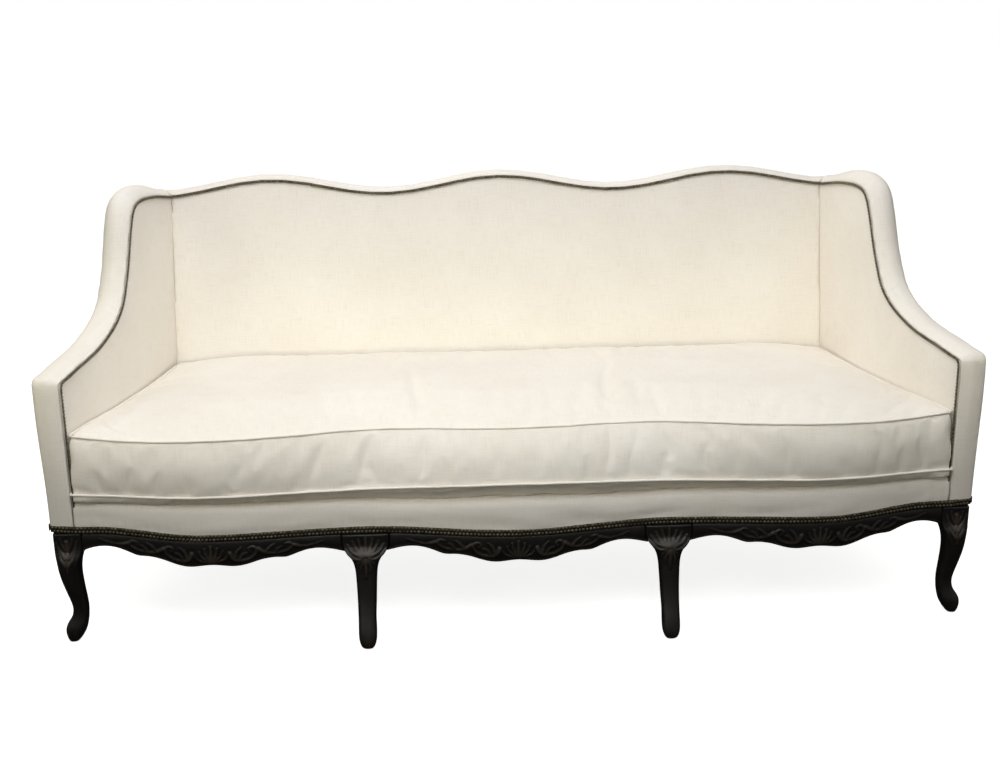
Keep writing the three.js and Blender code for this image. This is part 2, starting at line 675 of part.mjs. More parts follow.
const topRailLine = [[-railEndX, railEndTop], ...innerStations, [railEndX, railEndTop]];
addPiece(back, "back_top_rail", loft(topRailLine.map(([x, top]) => {
  const low = top - backRailDepth;
  const corners = [[frameNear, top], [backFrameDepth, top], [backFrameDepth, low], [frameNear, low]];
  return corners.map(([depth, height]) => new THREE.Vector3(x, depth, height));
})), frameWood);
const troughTop = backHeightAt(backHeight - backWave) - borderUnder - gap;
["left", "right"].forEach((name, index) => {
  const middle = ((index * 2 - 1) * crestSpacing) / 2;
  const postTop = troughTop - backRailDepth - gap;
  const half = midPostWidth / 2;
  const midPost = block(-half, half, frameNear, backFrameDepth, tackHigh + gap, postTop);
  addPiece(back, `back_mid_post_${name}`, midPost.translate(middle, 0, 0), frameWood);
});
addPiece(back, "back_border", backStrip(backNailLine, borderSection(backCrown),
  (depth, height) => mitre(backWorldZ(depth, height), depth / wallThickness).x - gap), linen);
addPiece(back, "nail_trim_back", backStrip(backNailLine, nailSection(nailWidth),
  (depth, height) => armFaceX(backWorldY(depth, height)) - nailRise - gap * 3), nailBronze);

// Seat deck: its outer line from the wood, over the nose and back, at a place across the front
const deckRear = backFaceAt(deckTop) + backPadThickness / 2;
const noseShares = [[0.3, 0.06], [0.05, 0.25], [0, 0.55], [0.35, 0.95], [1, 1]];

function deckLine(x) {
  const front = serpentine(x, railFront) + borderUnder;
  const nose = serpentine(x, deckNose);
  const wood = serpentine(x, woodTop) + gap * 2;
  const nosePoint = ([inward, up]) => [nose + inward * noseReach, mix(creaseHeight, deckTop, up)];
  const noseLine = noseShares.map(nosePoint);
  return [[front, wood], [front + nailInset / 2, wood + baseNailLift], ...noseLine, [deckRear, deckTop]];
}

// The deck's rings, each bent outwards to follow the splayed arms
function deckRings(sectionAt) {
  const rings = [];
  for (let step = 0; step <= deckStations; step += 1) {
    const share = (2 * step) / deckStations - 1;
    const section = sectionAt(share * armFrontX);
    rings.push(section.map(([y, z]) => new THREE.Vector3(share * (armFaceX(y) - gap / cosSplay), y, z)));
  }
  return rings;
}

function under(line, distance) {
  const moved = offsetLine(line, distance);
  moved[0][1] = line[0][1];
  moved.at(-1)[0] = line.at(-1)[0];
  return moved;
}

addPiece(sofa, "deck_cover", loft(deckRings((x) => {
  const line = deckLine(x);
  return [...line, ...under(line, deckCoverThickness).reverse()];
})), linen);
addPiece(sofa, "deck_pad", loft(deckRings((x) => {
  const line = under(deckLine(x), deckCoverThickness + gap);
  const ledge = serpentine(x, deckNose) + deckLedge;
  line[0][1] += gap;
  return [...line, [deckRear, deckPadUnder], [ledge, deckPadUnder], [ledge, line[0][1]]].reverse();
})), padding);

// Webbing, dust cover and springs inside the seat frame
function seatOutline(inset) {
  const points = [];
  const rearY = rearFaceY - gap - inset;
  for (let step = 0; step <= deckStations; step += 2) {
    const x = mix(-1, 1, step / deckStations) * (endLegInnerX - apronThickness - inset);
    points.push([x, serpentine(x, railFront) + webbingSetback + inset]);
  }
  const rearX = armFaceX(rearY, sideRailInner) - gap * 2 - inset;
  const frontY = sideRailFront + inset;
  const frontX = armFaceX(frontY, sideRailInner) - gap * 2 - inset;
  points.push([frontX, frontY], [rearX, rearY], [-rearX, rearY], [-frontX, frontY]);
  return points.map(([x, y]) => new THREE.Vector2(x, y));
}

const dustShape = new THREE.Shape(seatOutline(0));
const dustCover = new THREE.ExtrudeGeometry(dustShape, { depth: dustThickness, bevelEnabled: false });
addPiece(sofa, "dust_cover", dustCover, dustCloth).position.z = dustBottom;

const webbingLow = dustBottom + dustThickness + gap;
const webInnerX = armFaceX(rearFaceY) - webbingStrap;
const webFrontY = endBlockBack + webbingStrap;
const webRearY = rearFaceY - webbingStrap;
const cellWide = (2 * webInnerX + webbingStrap) / webbingColumns;
const cellDeep = (webRearY - webFrontY + webbingStrap) / webbingRows;
const webbingHoles = [];
for (let column = 0; column < webbingColumns; column += 1) {
  for (let row = 0; row < webbingRows; row += 1) {
    const x = -webInnerX + column * cellWide;
    const y = webFrontY + row * cellDeep;
    webbingHoles.push(block(x, x + cellWide - webbingStrap, y, y + cellDeep - webbingStrap,
      webbingLow - overrun, webbingTop + overrun));
  }
}
const webbingSheet = new THREE.ExtrudeGeometry(dustShape, { depth: webbingThickness, bevelEnabled: false });
addPiece(sofa, "seat_webbing", cutFrom(webbingSheet.translate(0, 0, webbingLow), ...webbingHoles), jute);

const springBottom = webbingTop + gap + springWire / 2;
const springTop = deckPadUnder - gap - springWire / 2;

function coilSpring() {
  const steps = springCurls * springStepsPerCurl;
  const rings = [];
  for (let step = 0; step <= steps; step += 1) {
    const angle = (2 * Math.PI * step) / springStepsPerCurl;
    const z = mix(springBottom, springTop, step / steps);
    const ring = [];
    for (let corner = 0; corner < springWireSides; corner += 1) {
      const turn = (2 * Math.PI * corner) / springWireSides;
      const radius = springRadius + (springWire / 2) * Math.cos(turn);
      const height = z + (springWire / 2) * Math.sin(turn);
      ring.push(new THREE.Vector3(radius * Math.cos(angle), radius * Math.sin(angle), height));
    }
    rings.push(ring);
  }
  return loft(rings);
}

const springClear = ((springTop - springBottom) / springCurls) - springWire;
console.log(`least gap between a spring's curls: ${springClear.toFixed(1)} mm`);
const springY = (endBlockBack + rearFaceY) / 2;
const springSpreadShare = 0.45;
const bayInnerX = legCentreX + crossRailWidth / 2;
const bayOuterX = armFaceX(springY + springRadius, sideRailInner);
const springBays = [[-bayOuterX, -bayInnerX], [-bayInnerX, bayInnerX], [bayInnerX, bayOuterX]];
const springShares = [(1 - springSpreadShare) / 2, (1 + springSpreadShare) / 2];
const springPlaces = springBays.flatMap(([from, to]) => springShares.map((share) => mix(from, to, share)));
springPlaces.forEach((x, index) => {
  addPiece(sofa, `seat_spring_${index + 1}`, coilSpring(), springSteel).position.set(x, springY, 0);
});

// Seat cushion: its plan outline at a share of its height, with rounded corners
const cushionRear = (z) => backFaceAt(z) - cushionBackClearance;
const cushionSide = (y) => armFaceX(y) - cushionSideClearance / cosSplay;
const frontSteps = 24;
const cornerSteps = 3;
const sideSteps = 3;

function cornerPoints(...corners) {
  const curve = new THREE.QuadraticBezierCurve(...corners.map(([x, y]) => new THREE.Vector2(x, y)));
  return curve.getPoints(cornerSteps).map(({ x, y }) => [x, y]);
}

function cushionOutline(heightShare) {
  const z = mix(cushionBottom, cushionTop - cushionFall, heightShare);
  const levels = cushionFrontBottom.map((level, index) => mix(level, cushionFrontTop[index], heightShare));
  const frontY = (x) => serpentine(x, levels);
  const rearY = cushionRear(z);
  const cornerY = levels[3];
  const cornerAt = cushionSide(cornerY);
  const rearAt = cushionSide(rearY);
  const points = [];
  const run = cornerAt - cushionCorner;
  for (let step = 0; step < frontSteps; step += 1) {
    const x = mix(-run, run, step / frontSteps);
    points.push([x, frontY(x)]);
  }
  const sideFrom = cornerY + cushionCorner;
  const sideTo = rearY - cushionCorner;
  points.push(...cornerPoints([run, frontY(run)], [cornerAt, cornerY], [cushionSide(sideFrom), sideFrom]));
  for (let step = 1; step < sideSteps; step += 1) {
    const y = mix(sideFrom, sideTo, step / sideSteps);
    points.push([cushionSide(y), y]);
  }
  const rearRun = rearAt - cushionCorner;
  points.push(...cornerPoints([cushionSide(sideTo), sideTo], [rearAt, rearY], [rearRun, rearY]));
  points.push([rearRun / 2, rearY], [0, rearY]);
  const mirrored = points.slice(frontSteps, -1).map(([x, y]) => [-x, y]).reverse();
  return [...points, ...mirrored.slice(0, -1)];
}

// The outline drawn in by a distance, towards the middle of the cushion
const cushionMiddleY = mix(cushionFrontTop[1], cushionRear(cushionTop), 0.5);
const cushionHalfDepth = cushionRear(cushionTop) - cushionMiddleY;
function drawnIn(outline, inset) {
  const shareX = 1 - inset / armFrontX;
  const shareY = 1 - inset / cushionHalfDepth;
  return outline.map(([x, y]) => [x * shareX, cushionMiddleY + (y - cushionMiddleY) * shareY]);
}

// The top falls towards the back
const fallAt = (y) => cushionFall * THREE.MathUtils.clamp(y / cushionRear(cushionTop), 0, 1);
const cushionRing = (heightShare, inset, z, falls) => drawnIn(cushionOutline(heightShare), inset)
  .map(([x, y]) => new THREE.Vector3(x, y, z - falls * fallAt(y)));

// Each row: the share of the height, the distance drawn in, the height and how much of the fall it takes
const crownShares = [[0.06, 0.22], [0.2, 0.55], [0.5, 0.87], [1, 1]];
const sideHeight = cushionTop - cushionBottom;
const bellyShares = [[0.5, 1], [0.2, 0.55]];
const cushionBelly = cushionBottom - deckTop - gap;
const bellyRows = bellyShares
  .map(([reach, rise]) => [0, reach * crownReach, cushionBottom - rise * cushionBelly, 0]);
const bulgeShares = [0.35, 0.7];
const sideRows = [
  [0, weltSeat, cushionBottom, 0], [0, 0, cushionBottom + weltSeat, 0],
  ...bulgeShares.map((share) => [share, -cushionBulge, cushionBottom + sideHeight * share, share]),
  [1, 0, cushionTop - weltSeat, 1], [1, weltSeat, cushionTop, 1],
];
const crownRows = crownShares
  .map(([reach, rise]) => [1, weltSeat + reach * crownReach, cushionTop + rise * cushionCrown, 1]);
const coverRings = [...bellyRows, ...sideRows, ...crownRows].map((row) => cushionRing(...row));

// The core's rows: its underside, its sides, and a top drawn in by the core's shoulder
function coreRows(inset) {
  const low = (weltSeat + inset) / sideHeight;
  const high = 1 - (weltSeat + coverThickness + inset) / sideHeight;
  const sides = [low, high].map((share) => [share, inset, mix(cushionBottom, cushionTop, share), share]);
  const underside = [0, weltSeat + inset, cushionBottom + inset, 0];
  const top = [1, weltSeat + coreShoulder + inset, cushionTop - inset, 1];
  return [underside, ...sides, top].map((row) => cushionRing(...row));
}
const hollow = loft(coreRows(coverThickness));
const zipY = cushionRear(zipMiddle) + cushionBulge - zipThickness / 2 - gap;
const slotReach = coverThickness + cushionBulge + overrun;
const centredBlock = (x, y, z) => block(-x / 2, x / 2, -y / 2, y / 2, -z / 2, z / 2);
const slot = centredBlock(zipLength, slotReach * 2, zipHeight).translate(0, zipY, zipMiddle);
addPiece(sofa, "seat_cushion_cover", cutFrom(loft(coverRings), hollow, slot), cushionLinen);
addPiece(sofa, "seat_cushion_core", loft(coreRows(coverThickness + 2 * gap)), padding);
const zip = centredBlock(zipLength - gap * 2, zipThickness, zipHeight - gap * 2);
addPiece(sofa, "cushion_zip", zip.translate(0, zipY, zipMiddle), zipTape);
const sliderY = zipY + zipThickness / 2 + gap * 2 + (sliderHeight / 2) * Math.tan(backRake) + sliderRise / 2;
const slider = centredBlock(sliderLength, sliderRise, sliderHeight);
addPiece(sofa, "zip_slider", slider.translate(zipLength / 2 - sliderLength, sliderY, zipMiddle), zipMetal);

// Welts: round cords along the cushion's two edges
const weltSides = 6;
function welt(heightShare, z, falls) {
  const outline = cushionOutline(heightShare);
  const count = outline.length;
  const rings = outline.map(([x, y], index) => {
    const [x0, y0] = outline[(index + count - 1) % count];
    const [x1, y1] = outline[(index + 1) % count];
    const length = Math.hypot(x1 - x0, y1 - y0);
    const outX = (y1 - y0) / length;
    const outY = -(x1 - x0) / length;
    const ring = [];
    for (let corner = 0; corner < weltSides; corner += 1) {
      const angle = (2 * Math.PI * (corner + 0.5)) / weltSides;
      const out = weltRadius * Math.cos(angle) - weltInset;
      const height = z - falls * fallAt(y) + weltRadius * Math.sin(angle);
      ring.push(new THREE.Vector3(x + outX * out, y + outY * out, height));
    }
    return ring;
  });
  return loft(rings, true);
}
addPiece(sofa, "cushion_welt_top", welt(1, cushionTop - weltInset, 1), cushionLinen);
addPiece(sofa, "cushion_welt_bottom", welt(0, cushionBottom + weltInset, 0), cushionLinen);

// Nail trim along the front of the base, from one arm's outer edge to the other's
const baseTrimEdge = armFaceX(0, wallThickness) - gap * 4;
const trimRings = deckRings((x) => {
  const face = serpentine(x, railFront) + (Math.abs(x) < armFrontX ? borderUnder : -borderUnder);
  const middle = serpentine(x, woodTop) + gap + baseNailHeight / 2;
  return nailSection(baseNailHeight).map(([out, along]) => [face + out, middle + along]);
});
const atArmEdge = (side, ring) => ring.map(({ y, z }) =>
  new THREE.Vector3(side * baseTrimEdge, y + (baseTrimEdge - armFrontX) * tanSplay, z));
trimRings.unshift(atArmEdge(-1, trimRings[0]));
trimRings.push(atArmEdge(1, trimRings.at(-1)));
addPiece(sofa, "nail_trim_base_front", loft(trimRings), nailBronze);

// The origin is under the middle of the sofa, on the floor
const bounds = new THREE.Box3().setFromObject(sofa, true);
sofa.position.y = -(bounds.min.y + bounds.max.y) / 2;

export default sofa;
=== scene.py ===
"""A long French sofa with wings, on a carved dark base with cabriole legs.

The timber, linen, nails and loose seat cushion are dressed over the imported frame.
Lengths are in metres, +Z is up and the front of the sofa faces -Y.
"""

import json
import logging
import math
from dataclasses import dataclass
from enum import Enum
from typing import Iterable, Sequence

import bmesh
import bpy
import numpy as np
from mathutils import Matrix, Vector, noise

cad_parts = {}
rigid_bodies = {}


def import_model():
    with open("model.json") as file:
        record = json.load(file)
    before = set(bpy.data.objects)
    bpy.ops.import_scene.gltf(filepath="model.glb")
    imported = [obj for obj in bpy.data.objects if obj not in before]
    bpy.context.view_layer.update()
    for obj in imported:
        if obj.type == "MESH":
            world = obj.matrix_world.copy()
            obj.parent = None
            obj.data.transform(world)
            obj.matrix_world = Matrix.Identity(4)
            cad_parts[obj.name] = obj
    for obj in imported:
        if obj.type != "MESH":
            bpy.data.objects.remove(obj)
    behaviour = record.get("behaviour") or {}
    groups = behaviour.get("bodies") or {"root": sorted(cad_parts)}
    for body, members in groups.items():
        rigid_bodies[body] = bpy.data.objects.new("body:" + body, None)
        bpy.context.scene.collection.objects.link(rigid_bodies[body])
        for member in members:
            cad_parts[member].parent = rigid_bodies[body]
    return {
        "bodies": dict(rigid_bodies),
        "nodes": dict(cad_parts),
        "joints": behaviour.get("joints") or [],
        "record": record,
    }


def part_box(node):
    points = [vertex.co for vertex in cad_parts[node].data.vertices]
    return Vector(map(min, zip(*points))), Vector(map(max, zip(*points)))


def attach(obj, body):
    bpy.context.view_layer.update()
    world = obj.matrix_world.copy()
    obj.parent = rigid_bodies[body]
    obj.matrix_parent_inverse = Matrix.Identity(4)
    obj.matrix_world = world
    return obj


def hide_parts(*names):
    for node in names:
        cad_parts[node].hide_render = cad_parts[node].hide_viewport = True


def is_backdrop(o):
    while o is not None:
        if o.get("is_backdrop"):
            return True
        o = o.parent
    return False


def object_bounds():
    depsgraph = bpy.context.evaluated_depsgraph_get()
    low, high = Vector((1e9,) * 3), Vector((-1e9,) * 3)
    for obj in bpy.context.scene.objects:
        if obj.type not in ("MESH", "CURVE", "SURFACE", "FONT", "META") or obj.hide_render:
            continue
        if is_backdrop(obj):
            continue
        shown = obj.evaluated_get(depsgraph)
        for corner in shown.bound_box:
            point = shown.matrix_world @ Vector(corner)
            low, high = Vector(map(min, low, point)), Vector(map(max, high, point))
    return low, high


LOG = logging.getLogger("sofa")
FRAME_BODY = "sofa_frame"
CUSHION_BODY = "seat_cushion"

# Where the arms' fronts stand, and how the walls lean
ARM_FRONT_X = 1.033
ARM_FRONT_Y = -0.356344
ARM_SPLAY = math.radians(11.3)
BACK_FACE_Y = 0.674
BACK_RAKE = math.radians(7.0)
WOOD_LINE = 0.273
GAP = 0.0003

# Where the legs stand along the front
CENTRE_LEG_X = 0.358
END_LEG_INNER_X = 1.018
END_LEG_X = 1.053
BAY_CENTRE_X = 0.7175


class Side(Enum):
    """The two ends of the sofa, as the sign of their X."""

    LEFT = -1
    RIGHT = 1

    @property
    def suffix(self) -> str:
        """The end of the names of this side's nodes."""
        return self.name.lower()


class Slot(Enum):
    """The finishes that the record names."""

    CARVED_WOOD = "carved_wood"
    FRAME_WOOD = "frame_wood"
    LINEN = "linen"
    CUSHION_LINEN = "cushion_linen"
    NAIL_BRONZE = "nail_bronze"
    PADDING = "padding"
    DUST_CLOTH = "dust_cloth"
    JUTE = "jute"
    SPRING_STEEL = "spring_steel"
    ZIP_TAPE = "zip_tape"
    ZIP_METAL = "zip_metal"


# Materials


def linear(hex_colour: str) -> tuple[float, float, float, float]:
    """Turns an sRGB hex colour into linear light.

    Args:
        hex_colour: six hex digits, with or without a leading #.

    Returns:
        Red, green, blue and an alpha of 1.
    """
    digits = hex_colour.lstrip("#")
    values = [int(digits[at : at + 2], 16) / 255 for at in (0, 2, 4)]
    light = [v / 12.92 if v <= 0.04045 else ((v + 0.055) / 1.055) ** 2.4 for v in values]
    return (light[0], light[1], light[2], 1.0)


class Graph:
    """The nodes of a material or of the room, added one at a time with their settings and links."""

    def __init__(self, owner: bpy.types.ID, output: str = "OutputMaterial") -> None:
        """Starts with nothing but the output.

        Args:
            owner: the material or the world.
            output: the output's type, without its ShaderNode prefix.
        """
        self.owner = owner
        owner.use_nodes = True
        self.nodes = owner.node_tree.nodes
        self.links = owner.node_tree.links
        self.nodes.clear()
        self.output = self.nodes.new("ShaderNode" + output)

    def add(self, kind: str, settings: dict | None = None, **sockets: object) -> bpy.types.Node:
        """Adds a node, with its settings, and its sockets set or linked.

        Args:
            kind: the node's type, without its ShaderNode prefix.
            settings: the node's own properties.
            **sockets: a value or an output for each input, named with _ for a space, or in and its number.

        Returns:
            The new node.
        """
        node = self.nodes.new("ShaderNode" + kind)
        for key, value in (settings or {}).items():
            setattr(node, key, value)
        for key, value in sockets.items():
            numbered = key.startswith("in") and key[2:].isdigit()
            socket = node.inputs[int(key[2:]) if numbered else key.replace("_", " ")]
            if isinstance(value, bpy.types.NodeSocket):
                self.links.new(value, socket)
            else:
                socket.default_value = value
        return node

    def close(self, shader: bpy.types.Node) -> bpy.types.ID:
        """Links the shader to the output.

        Args:
            shader: the surface shader.

        Returns:
            The finished material or world.
        """
        self.links.new(shader.outputs[0], self.output.inputs["Surface"])
        return self.owner


def ramp(
    graph: Graph, factor: bpy.types.NodeSocket, stops: Sequence[tuple[float, str]]
) -> bpy.types.NodeSocket:
    """Turns a factor into a colour through stops.

    Args:
        graph: the material's nodes.
        factor: what picks the colour.
        stops: places from 0 to 1, each with a hex colour.

    Returns:
        The ramp's colour output.
    """
    node = graph.add("ValToRGB", Fac=factor)
    elements = node.color_ramp.elements
    for index, (place, colour) in enumerate(stops):
        element = elements[index] if index < 2 else elements.new(place)
        element.position = place
        element.color = linear(colour)
    return node.outputs["Color"]


@dataclass(frozen=True)
class WovenLinen:
    """Upholstery linen of slubby yarn, plain woven and soft: no gloss, only a faint warm sheen at its edges.

    The yarns are 0.8 mm apart. They are drawn 1.7 mm apart, so that the weave shows in a whole view.
    """

    name: str
    lit: str
    shaded: str
    yarn: str
    spacing: float = 0.0017
    slub_length: float = 0.045
    relief: float = 0.00022
    sheen: float = 0.25

    def build(self) -> bpy.types.Material:
        """Builds the cloth on the piece's own UV map, which is laid out in metres along the yarns."""
        graph = Graph(bpy.data.materials.new(self.name))
        place = graph.add("TexCoord")
        weft = self._yarns(graph, place.outputs["UV"], 1 / self.slub_length, 1 / self.spacing)
        warp = self._yarns(graph, place.outputs["UV"], 1 / self.spacing, 1 / self.slub_length)
        woven = graph.add("Math", {"operation": "ADD"}, in0=weft, in1=warp)
        cloud = graph.add("TexNoise", Vector=place.outputs["Object"], Scale=5.0, Detail=3.0, Roughness=0.55)
        base = ramp(graph, cloud.outputs["Fac"], [(0.3, self.shaded), (0.7, self.lit)])
        mean = graph.add("Math", {"operation": "MULTIPLY"}, in0=woven.outputs[0], in1=0.5)
        streak = ramp(graph, mean.outputs[0], [(0.34, self.yarn), (0.5, "ffffff"), (0.72, "ffffff")])
        colour = graph.add("MixRGB", {"blend_type": "MULTIPLY"}, Fac=0.32, Color1=base, Color2=streak)
        bump = graph.add("Bump", Strength=0.6, Distance=self.relief, Height=woven.outputs[0])
        return graph.close(graph.add(
            "BsdfPrincipled", Base_Color=colour.outputs[0], Roughness=0.9, Normal=bump.outputs[0],
            IOR=1.5, Specular_IOR_Level=0.25, Sheen_Weight=self.sheen, Sheen_Roughness=0.6,
            Sheen_Tint=linear("fff4de")))

    @staticmethod
    def _yarns(
        graph: Graph, place: bpy.types.NodeSocket, along: float, across: float
    ) -> bpy.types.NodeSocket:
        """Adds yarns that run along one way of the cloth.

        Args:
            graph: the material's nodes.
            place: the cloth's own coordinates.
            along: how many slubs a metre across the first way.
            across: how many yarns a metre across the other way.

        Returns:
            The yarns' height, from 0 to 1.
        """
        turn = graph.add("Mapping", Vector=place, Scale=(along, across, 1.0))
        grain = graph.add("TexNoise", Vector=turn.outputs[0], Scale=1.0, Detail=2.0, Roughness=0.6)
        return grain.outputs["Fac"]


@dataclass(frozen=True)
class PolishedWood:
    """Carved wood stained almost black and waxed: a low satin gloss, brown ridges and dark hollows.

    The grain is about 17 mm wide and 110 mm long, with finer lines within it.
    """

    name: str
    hollow: str
    face: str
    rubbed: str
    grain: Vector
    roughness: float = 0.4

    def build(self) -> bpy.types.Material:
        """Builds the wood, whose hollows and ridges come from the piece's own relief attribute."""
        graph = Graph(bpy.data.materials.new(self.name))
        place = graph.add("TexCoord")
        stretch = graph.add("Mapping", Vector=place.outputs["Object"], Scale=self.grain)
        grain = graph.add("TexNoise", Vector=stretch.outputs[0], Scale=1.0, Detail=6.0, Roughness=0.62,
                          Distortion=0.6)
        fleck = graph.add("TexNoise", Vector=place.outputs["Object"], Scale=38.0, Detail=4.0, Roughness=0.6)
        relief = graph.add("Attribute", {"attribute_name": "relief"})
        mixed = graph.add("Math", {"operation": "MULTIPLY_ADD"}, in0=fleck.outputs["Fac"], in1=0.42,
                          in2=relief.outputs["Fac"])
        lowered = graph.add("Math", {"operation": "SUBTRACT"}, in0=mixed.outputs[0], in1=0.21)
        tone = ramp(graph, lowered.outputs[0], [(0.22, self.hollow), (0.52, self.face), (0.86, self.rubbed)])
        veins = ramp(graph, grain.outputs["Fac"], [(0.35, "6f6258"), (0.6, "ffffff")])
        colour = graph.add("MixRGB", {"blend_type": "MULTIPLY"}, Fac=0.55, Color1=tone, Color2=veins)
        gloss = graph.add("MapRange", Value=fleck.outputs["Fac"], To_Min=self.roughness - 0.08,
                          To_Max=self.roughness + 0.14)
        height = graph.add("Math", {"operation": "MULTIPLY_ADD"}, in0=grain.outputs["Fac"], in1=0.6,
                           in2=fleck.outputs["Fac"])
        bump = graph.add("Bump", Strength=0.5, Distance=0.0006, Height=height.outputs[0])
        return graph.close(graph.add(
            "BsdfPrincipled", Base_Color=colour.outputs[0], Roughness=gloss.outputs[0],
            Normal=bump.outputs[0], IOR=1.5, Specular_IOR_Level=0.4, Coat_Weight=0.06, Coat_Roughness=0.3))


@dataclass(frozen=True)
class SawnBeech:
    """Plain beech of the inner frame: pale, sawn and unfinished, with a straight grain 8 mm wide."""

    name: str = "sawn_beech"
    light: str = "c9a877"
    dark: str = "a07c4e"

    def build(self) -> bpy.types.Material:
        """Builds the raw timber."""
        graph = Graph(bpy.data.materials.new(self.name))
        place = graph.add("TexCoord")
        stretch = graph.add("Mapping", Vector=place.outputs["Object"], Scale=(9.0, 120.0, 120.0))
        grain = graph.add("TexNoise", Vector=stretch.outputs[0], Scale=1.0, Detail=5.0, Roughness=0.6)
        colour = ramp(graph, grain.outputs["Fac"], [(0.3, self.dark), (0.65, self.light)])
        bump = graph.add("Bump", Strength=0.4, Distance=0.0004, Height=grain.outputs["Fac"])
        return graph.close(graph.add("BsdfPrincipled", Base_Color=colour, Roughness=0.7,
                                     Normal=bump.outputs[0]))


@dataclass(frozen=True)
class AgedMetal:
    """A cast or drawn metal with a darkened skin: rubbed bright on its crowns, and dull in between."""

    name: str
    dark: str
    bright: str
    roughness: float
    metallic: float = 0.9

    def build(self) -> bpy.types.Material:
        """Builds the metal, whose pieces each take a tone of their own from an attribute."""
        graph = Graph(bpy.data.materials.new(self.name))
        place = graph.add("TexCoord")
        tone = graph.add("Attribute", {"attribute_name": "tone"})
        stain = graph.add("TexNoise", Vector=place.outputs["Object"], Scale=260.0, Detail=3.0)
        mixed = graph.add("Math", {"operation": "MULTIPLY_ADD"}, in0=stain.outputs["Fac"], in1=0.5,
                          in2=tone.outputs["Fac"])
        colour = ramp(graph, mixed.outputs[0], [(0.25, self.dark), (1.0, self.bright)])
        gloss = graph.add("MapRange", Value=stain.outputs["Fac"], To_Min=self.roughness - 0.08,
                          To_Max=self.roughness + 0.15)
        return graph.close(graph.add("BsdfPrincipled", Base_Color=colour, Roughness=gloss.outputs[0],
                                     Metallic=self.metallic))


@dataclass(frozen=True)
class CoarseFibre:
    """A plain fibrous stuff, such as wadding, jute or black dust cloth, with no gloss at all."""

    name: str
    dark: str
    light: str
    spacing: float
    relief: float = 0.0005

    def build(self) -> bpy.types.Material:
        """Builds the fibres at their own spacing."""
        graph = Graph(bpy.data.materials.new(self.name))
        place = graph.add("TexCoord")
        fibre = graph.add("TexNoise", Vector=place.outputs["Object"], Scale=1 / self.spacing, Detail=4.0,
                          Roughness=0.7)
        colour = ramp(graph, fibre.outputs["Fac"], [(0.3, self.dark), (0.7, self.light)])
        bump = graph.add("Bump", Strength=0.6, Distance=self.relief, Height=fibre.outputs["Fac"])
        return graph.close(graph.add("BsdfPrincipled", Base_Color=colour, Roughness=0.95,
                                     Normal=bump.outputs[0], Specular_IOR_Level=0.2))


class Finishes:
    """Every finish of the sofa, built once and picked by its slot."""

    def __init__(self) -> None:
        """Builds the finishes."""
        linen = WovenLinen("natural_linen", "f5f1e9", "f0ebe2", "dad5c9")
        cushion = WovenLinen("washed_linen", "f6f2ea", "f1ece2", "dbd5c9")
        wood = PolishedWood("ebonised_walnut", "080706", "171310", "3b3228", Vector((60.0, 60.0, 9.0)))
        self.by_slot: dict[Slot, bpy.types.Material] = {
            Slot.LINEN: linen.build(),
            Slot.CUSHION_LINEN: cushion.build(),
            Slot.CARVED_WOOD: wood.build(),
            Slot.FRAME_WOOD: SawnBeech().build(),
            Slot.NAIL_BRONZE: AgedMetal("antique_bronze", "3b372c", "968d77", 0.5).build(),
            Slot.PADDING: CoarseFibre("cotton_wadding", "cbbf9f", "e2d9bf", 0.006, 0.001).build(),
            Slot.DUST_CLOTH: CoarseFibre("black_calico", "131314", "242426", 0.0012).build(),
            Slot.JUTE: CoarseFibre("jute_webbing", "7d6845", "b09a72", 0.0025).build(),
            Slot.SPRING_STEEL: AgedMetal("spring_steel", "5c5f62", "a3a6a8", 0.35).build(),
            Slot.ZIP_TAPE: CoarseFibre("cotton_tape", "bdb59d", "d8d1be", 0.0012, 0.0002).build(),
            Slot.ZIP_METAL: AgedMetal("zip_nickel", "7c786c", "c2beb0", 0.3).build(),
        }

    def __getitem__(self, slot: Slot) -> bpy.types.Material:
        """The finish of a slot."""
        return self.by_slot[slot]


# Geometry helpers


def vectors_of(items: bpy.types.bpy_prop_collection, name: str) -> np.ndarray:
    """One vector of every item, such as its place or its normal, one row each."""
    flat = np.empty(len(items) * 3, np.float32)
    items.foreach_get(name, flat)
    return flat.reshape(-1, 3).astype(float)


def points_of(mesh: bpy.types.Mesh) -> np.ndarray:
    """The mesh's points, one row each."""
    return vectors_of(mesh.vertices, "co")


def normals_of(mesh: bpy.types.Mesh) -> np.ndarray:
    """The directions in which the mesh's points face."""
    return vectors_of(mesh.vertices, "normal")


def set_points(mesh: bpy.types.Mesh, points: np.ndarray) -> None:
    """Moves the mesh's points to the given rows."""
    mesh.vertices.foreach_set("co", points.astype(np.float32).ravel())
    mesh.update()


def smoothstep(value: np.ndarray, low: float, high: float) -> np.ndarray:
    """Rises smoothly from 0 at low to 1 at high."""
    share = np.clip((value - low) / (high - low), 0.0, 1.0)
    return share * share * (3 - 2 * share)


def window(value: np.ndarray, rise: tuple[float, float], ease: tuple[float, float]) -> np.ndarray:
    """Rises smoothly from 0 to 1 over one range, and eases back to 0 over another."""
    return smoothstep(value, *rise) * (1 - smoothstep(value, *ease))


def wander(points: np.ndarray, reach: float, seed: float) -> np.ndarray:
    """A smooth wander between about -1 and 1 over the points.

    Args:
        points: the places, one row each.
        reach: how far apart its rises stand, in metres.
        seed: which of the wanders it is.

    Returns:
        One number for each point.
    """
    shift = Vector((seed, seed * 1.7, -seed))
    return np.array([noise.noise(Vector(p) / reach + shift) for p in points]) * 1.6


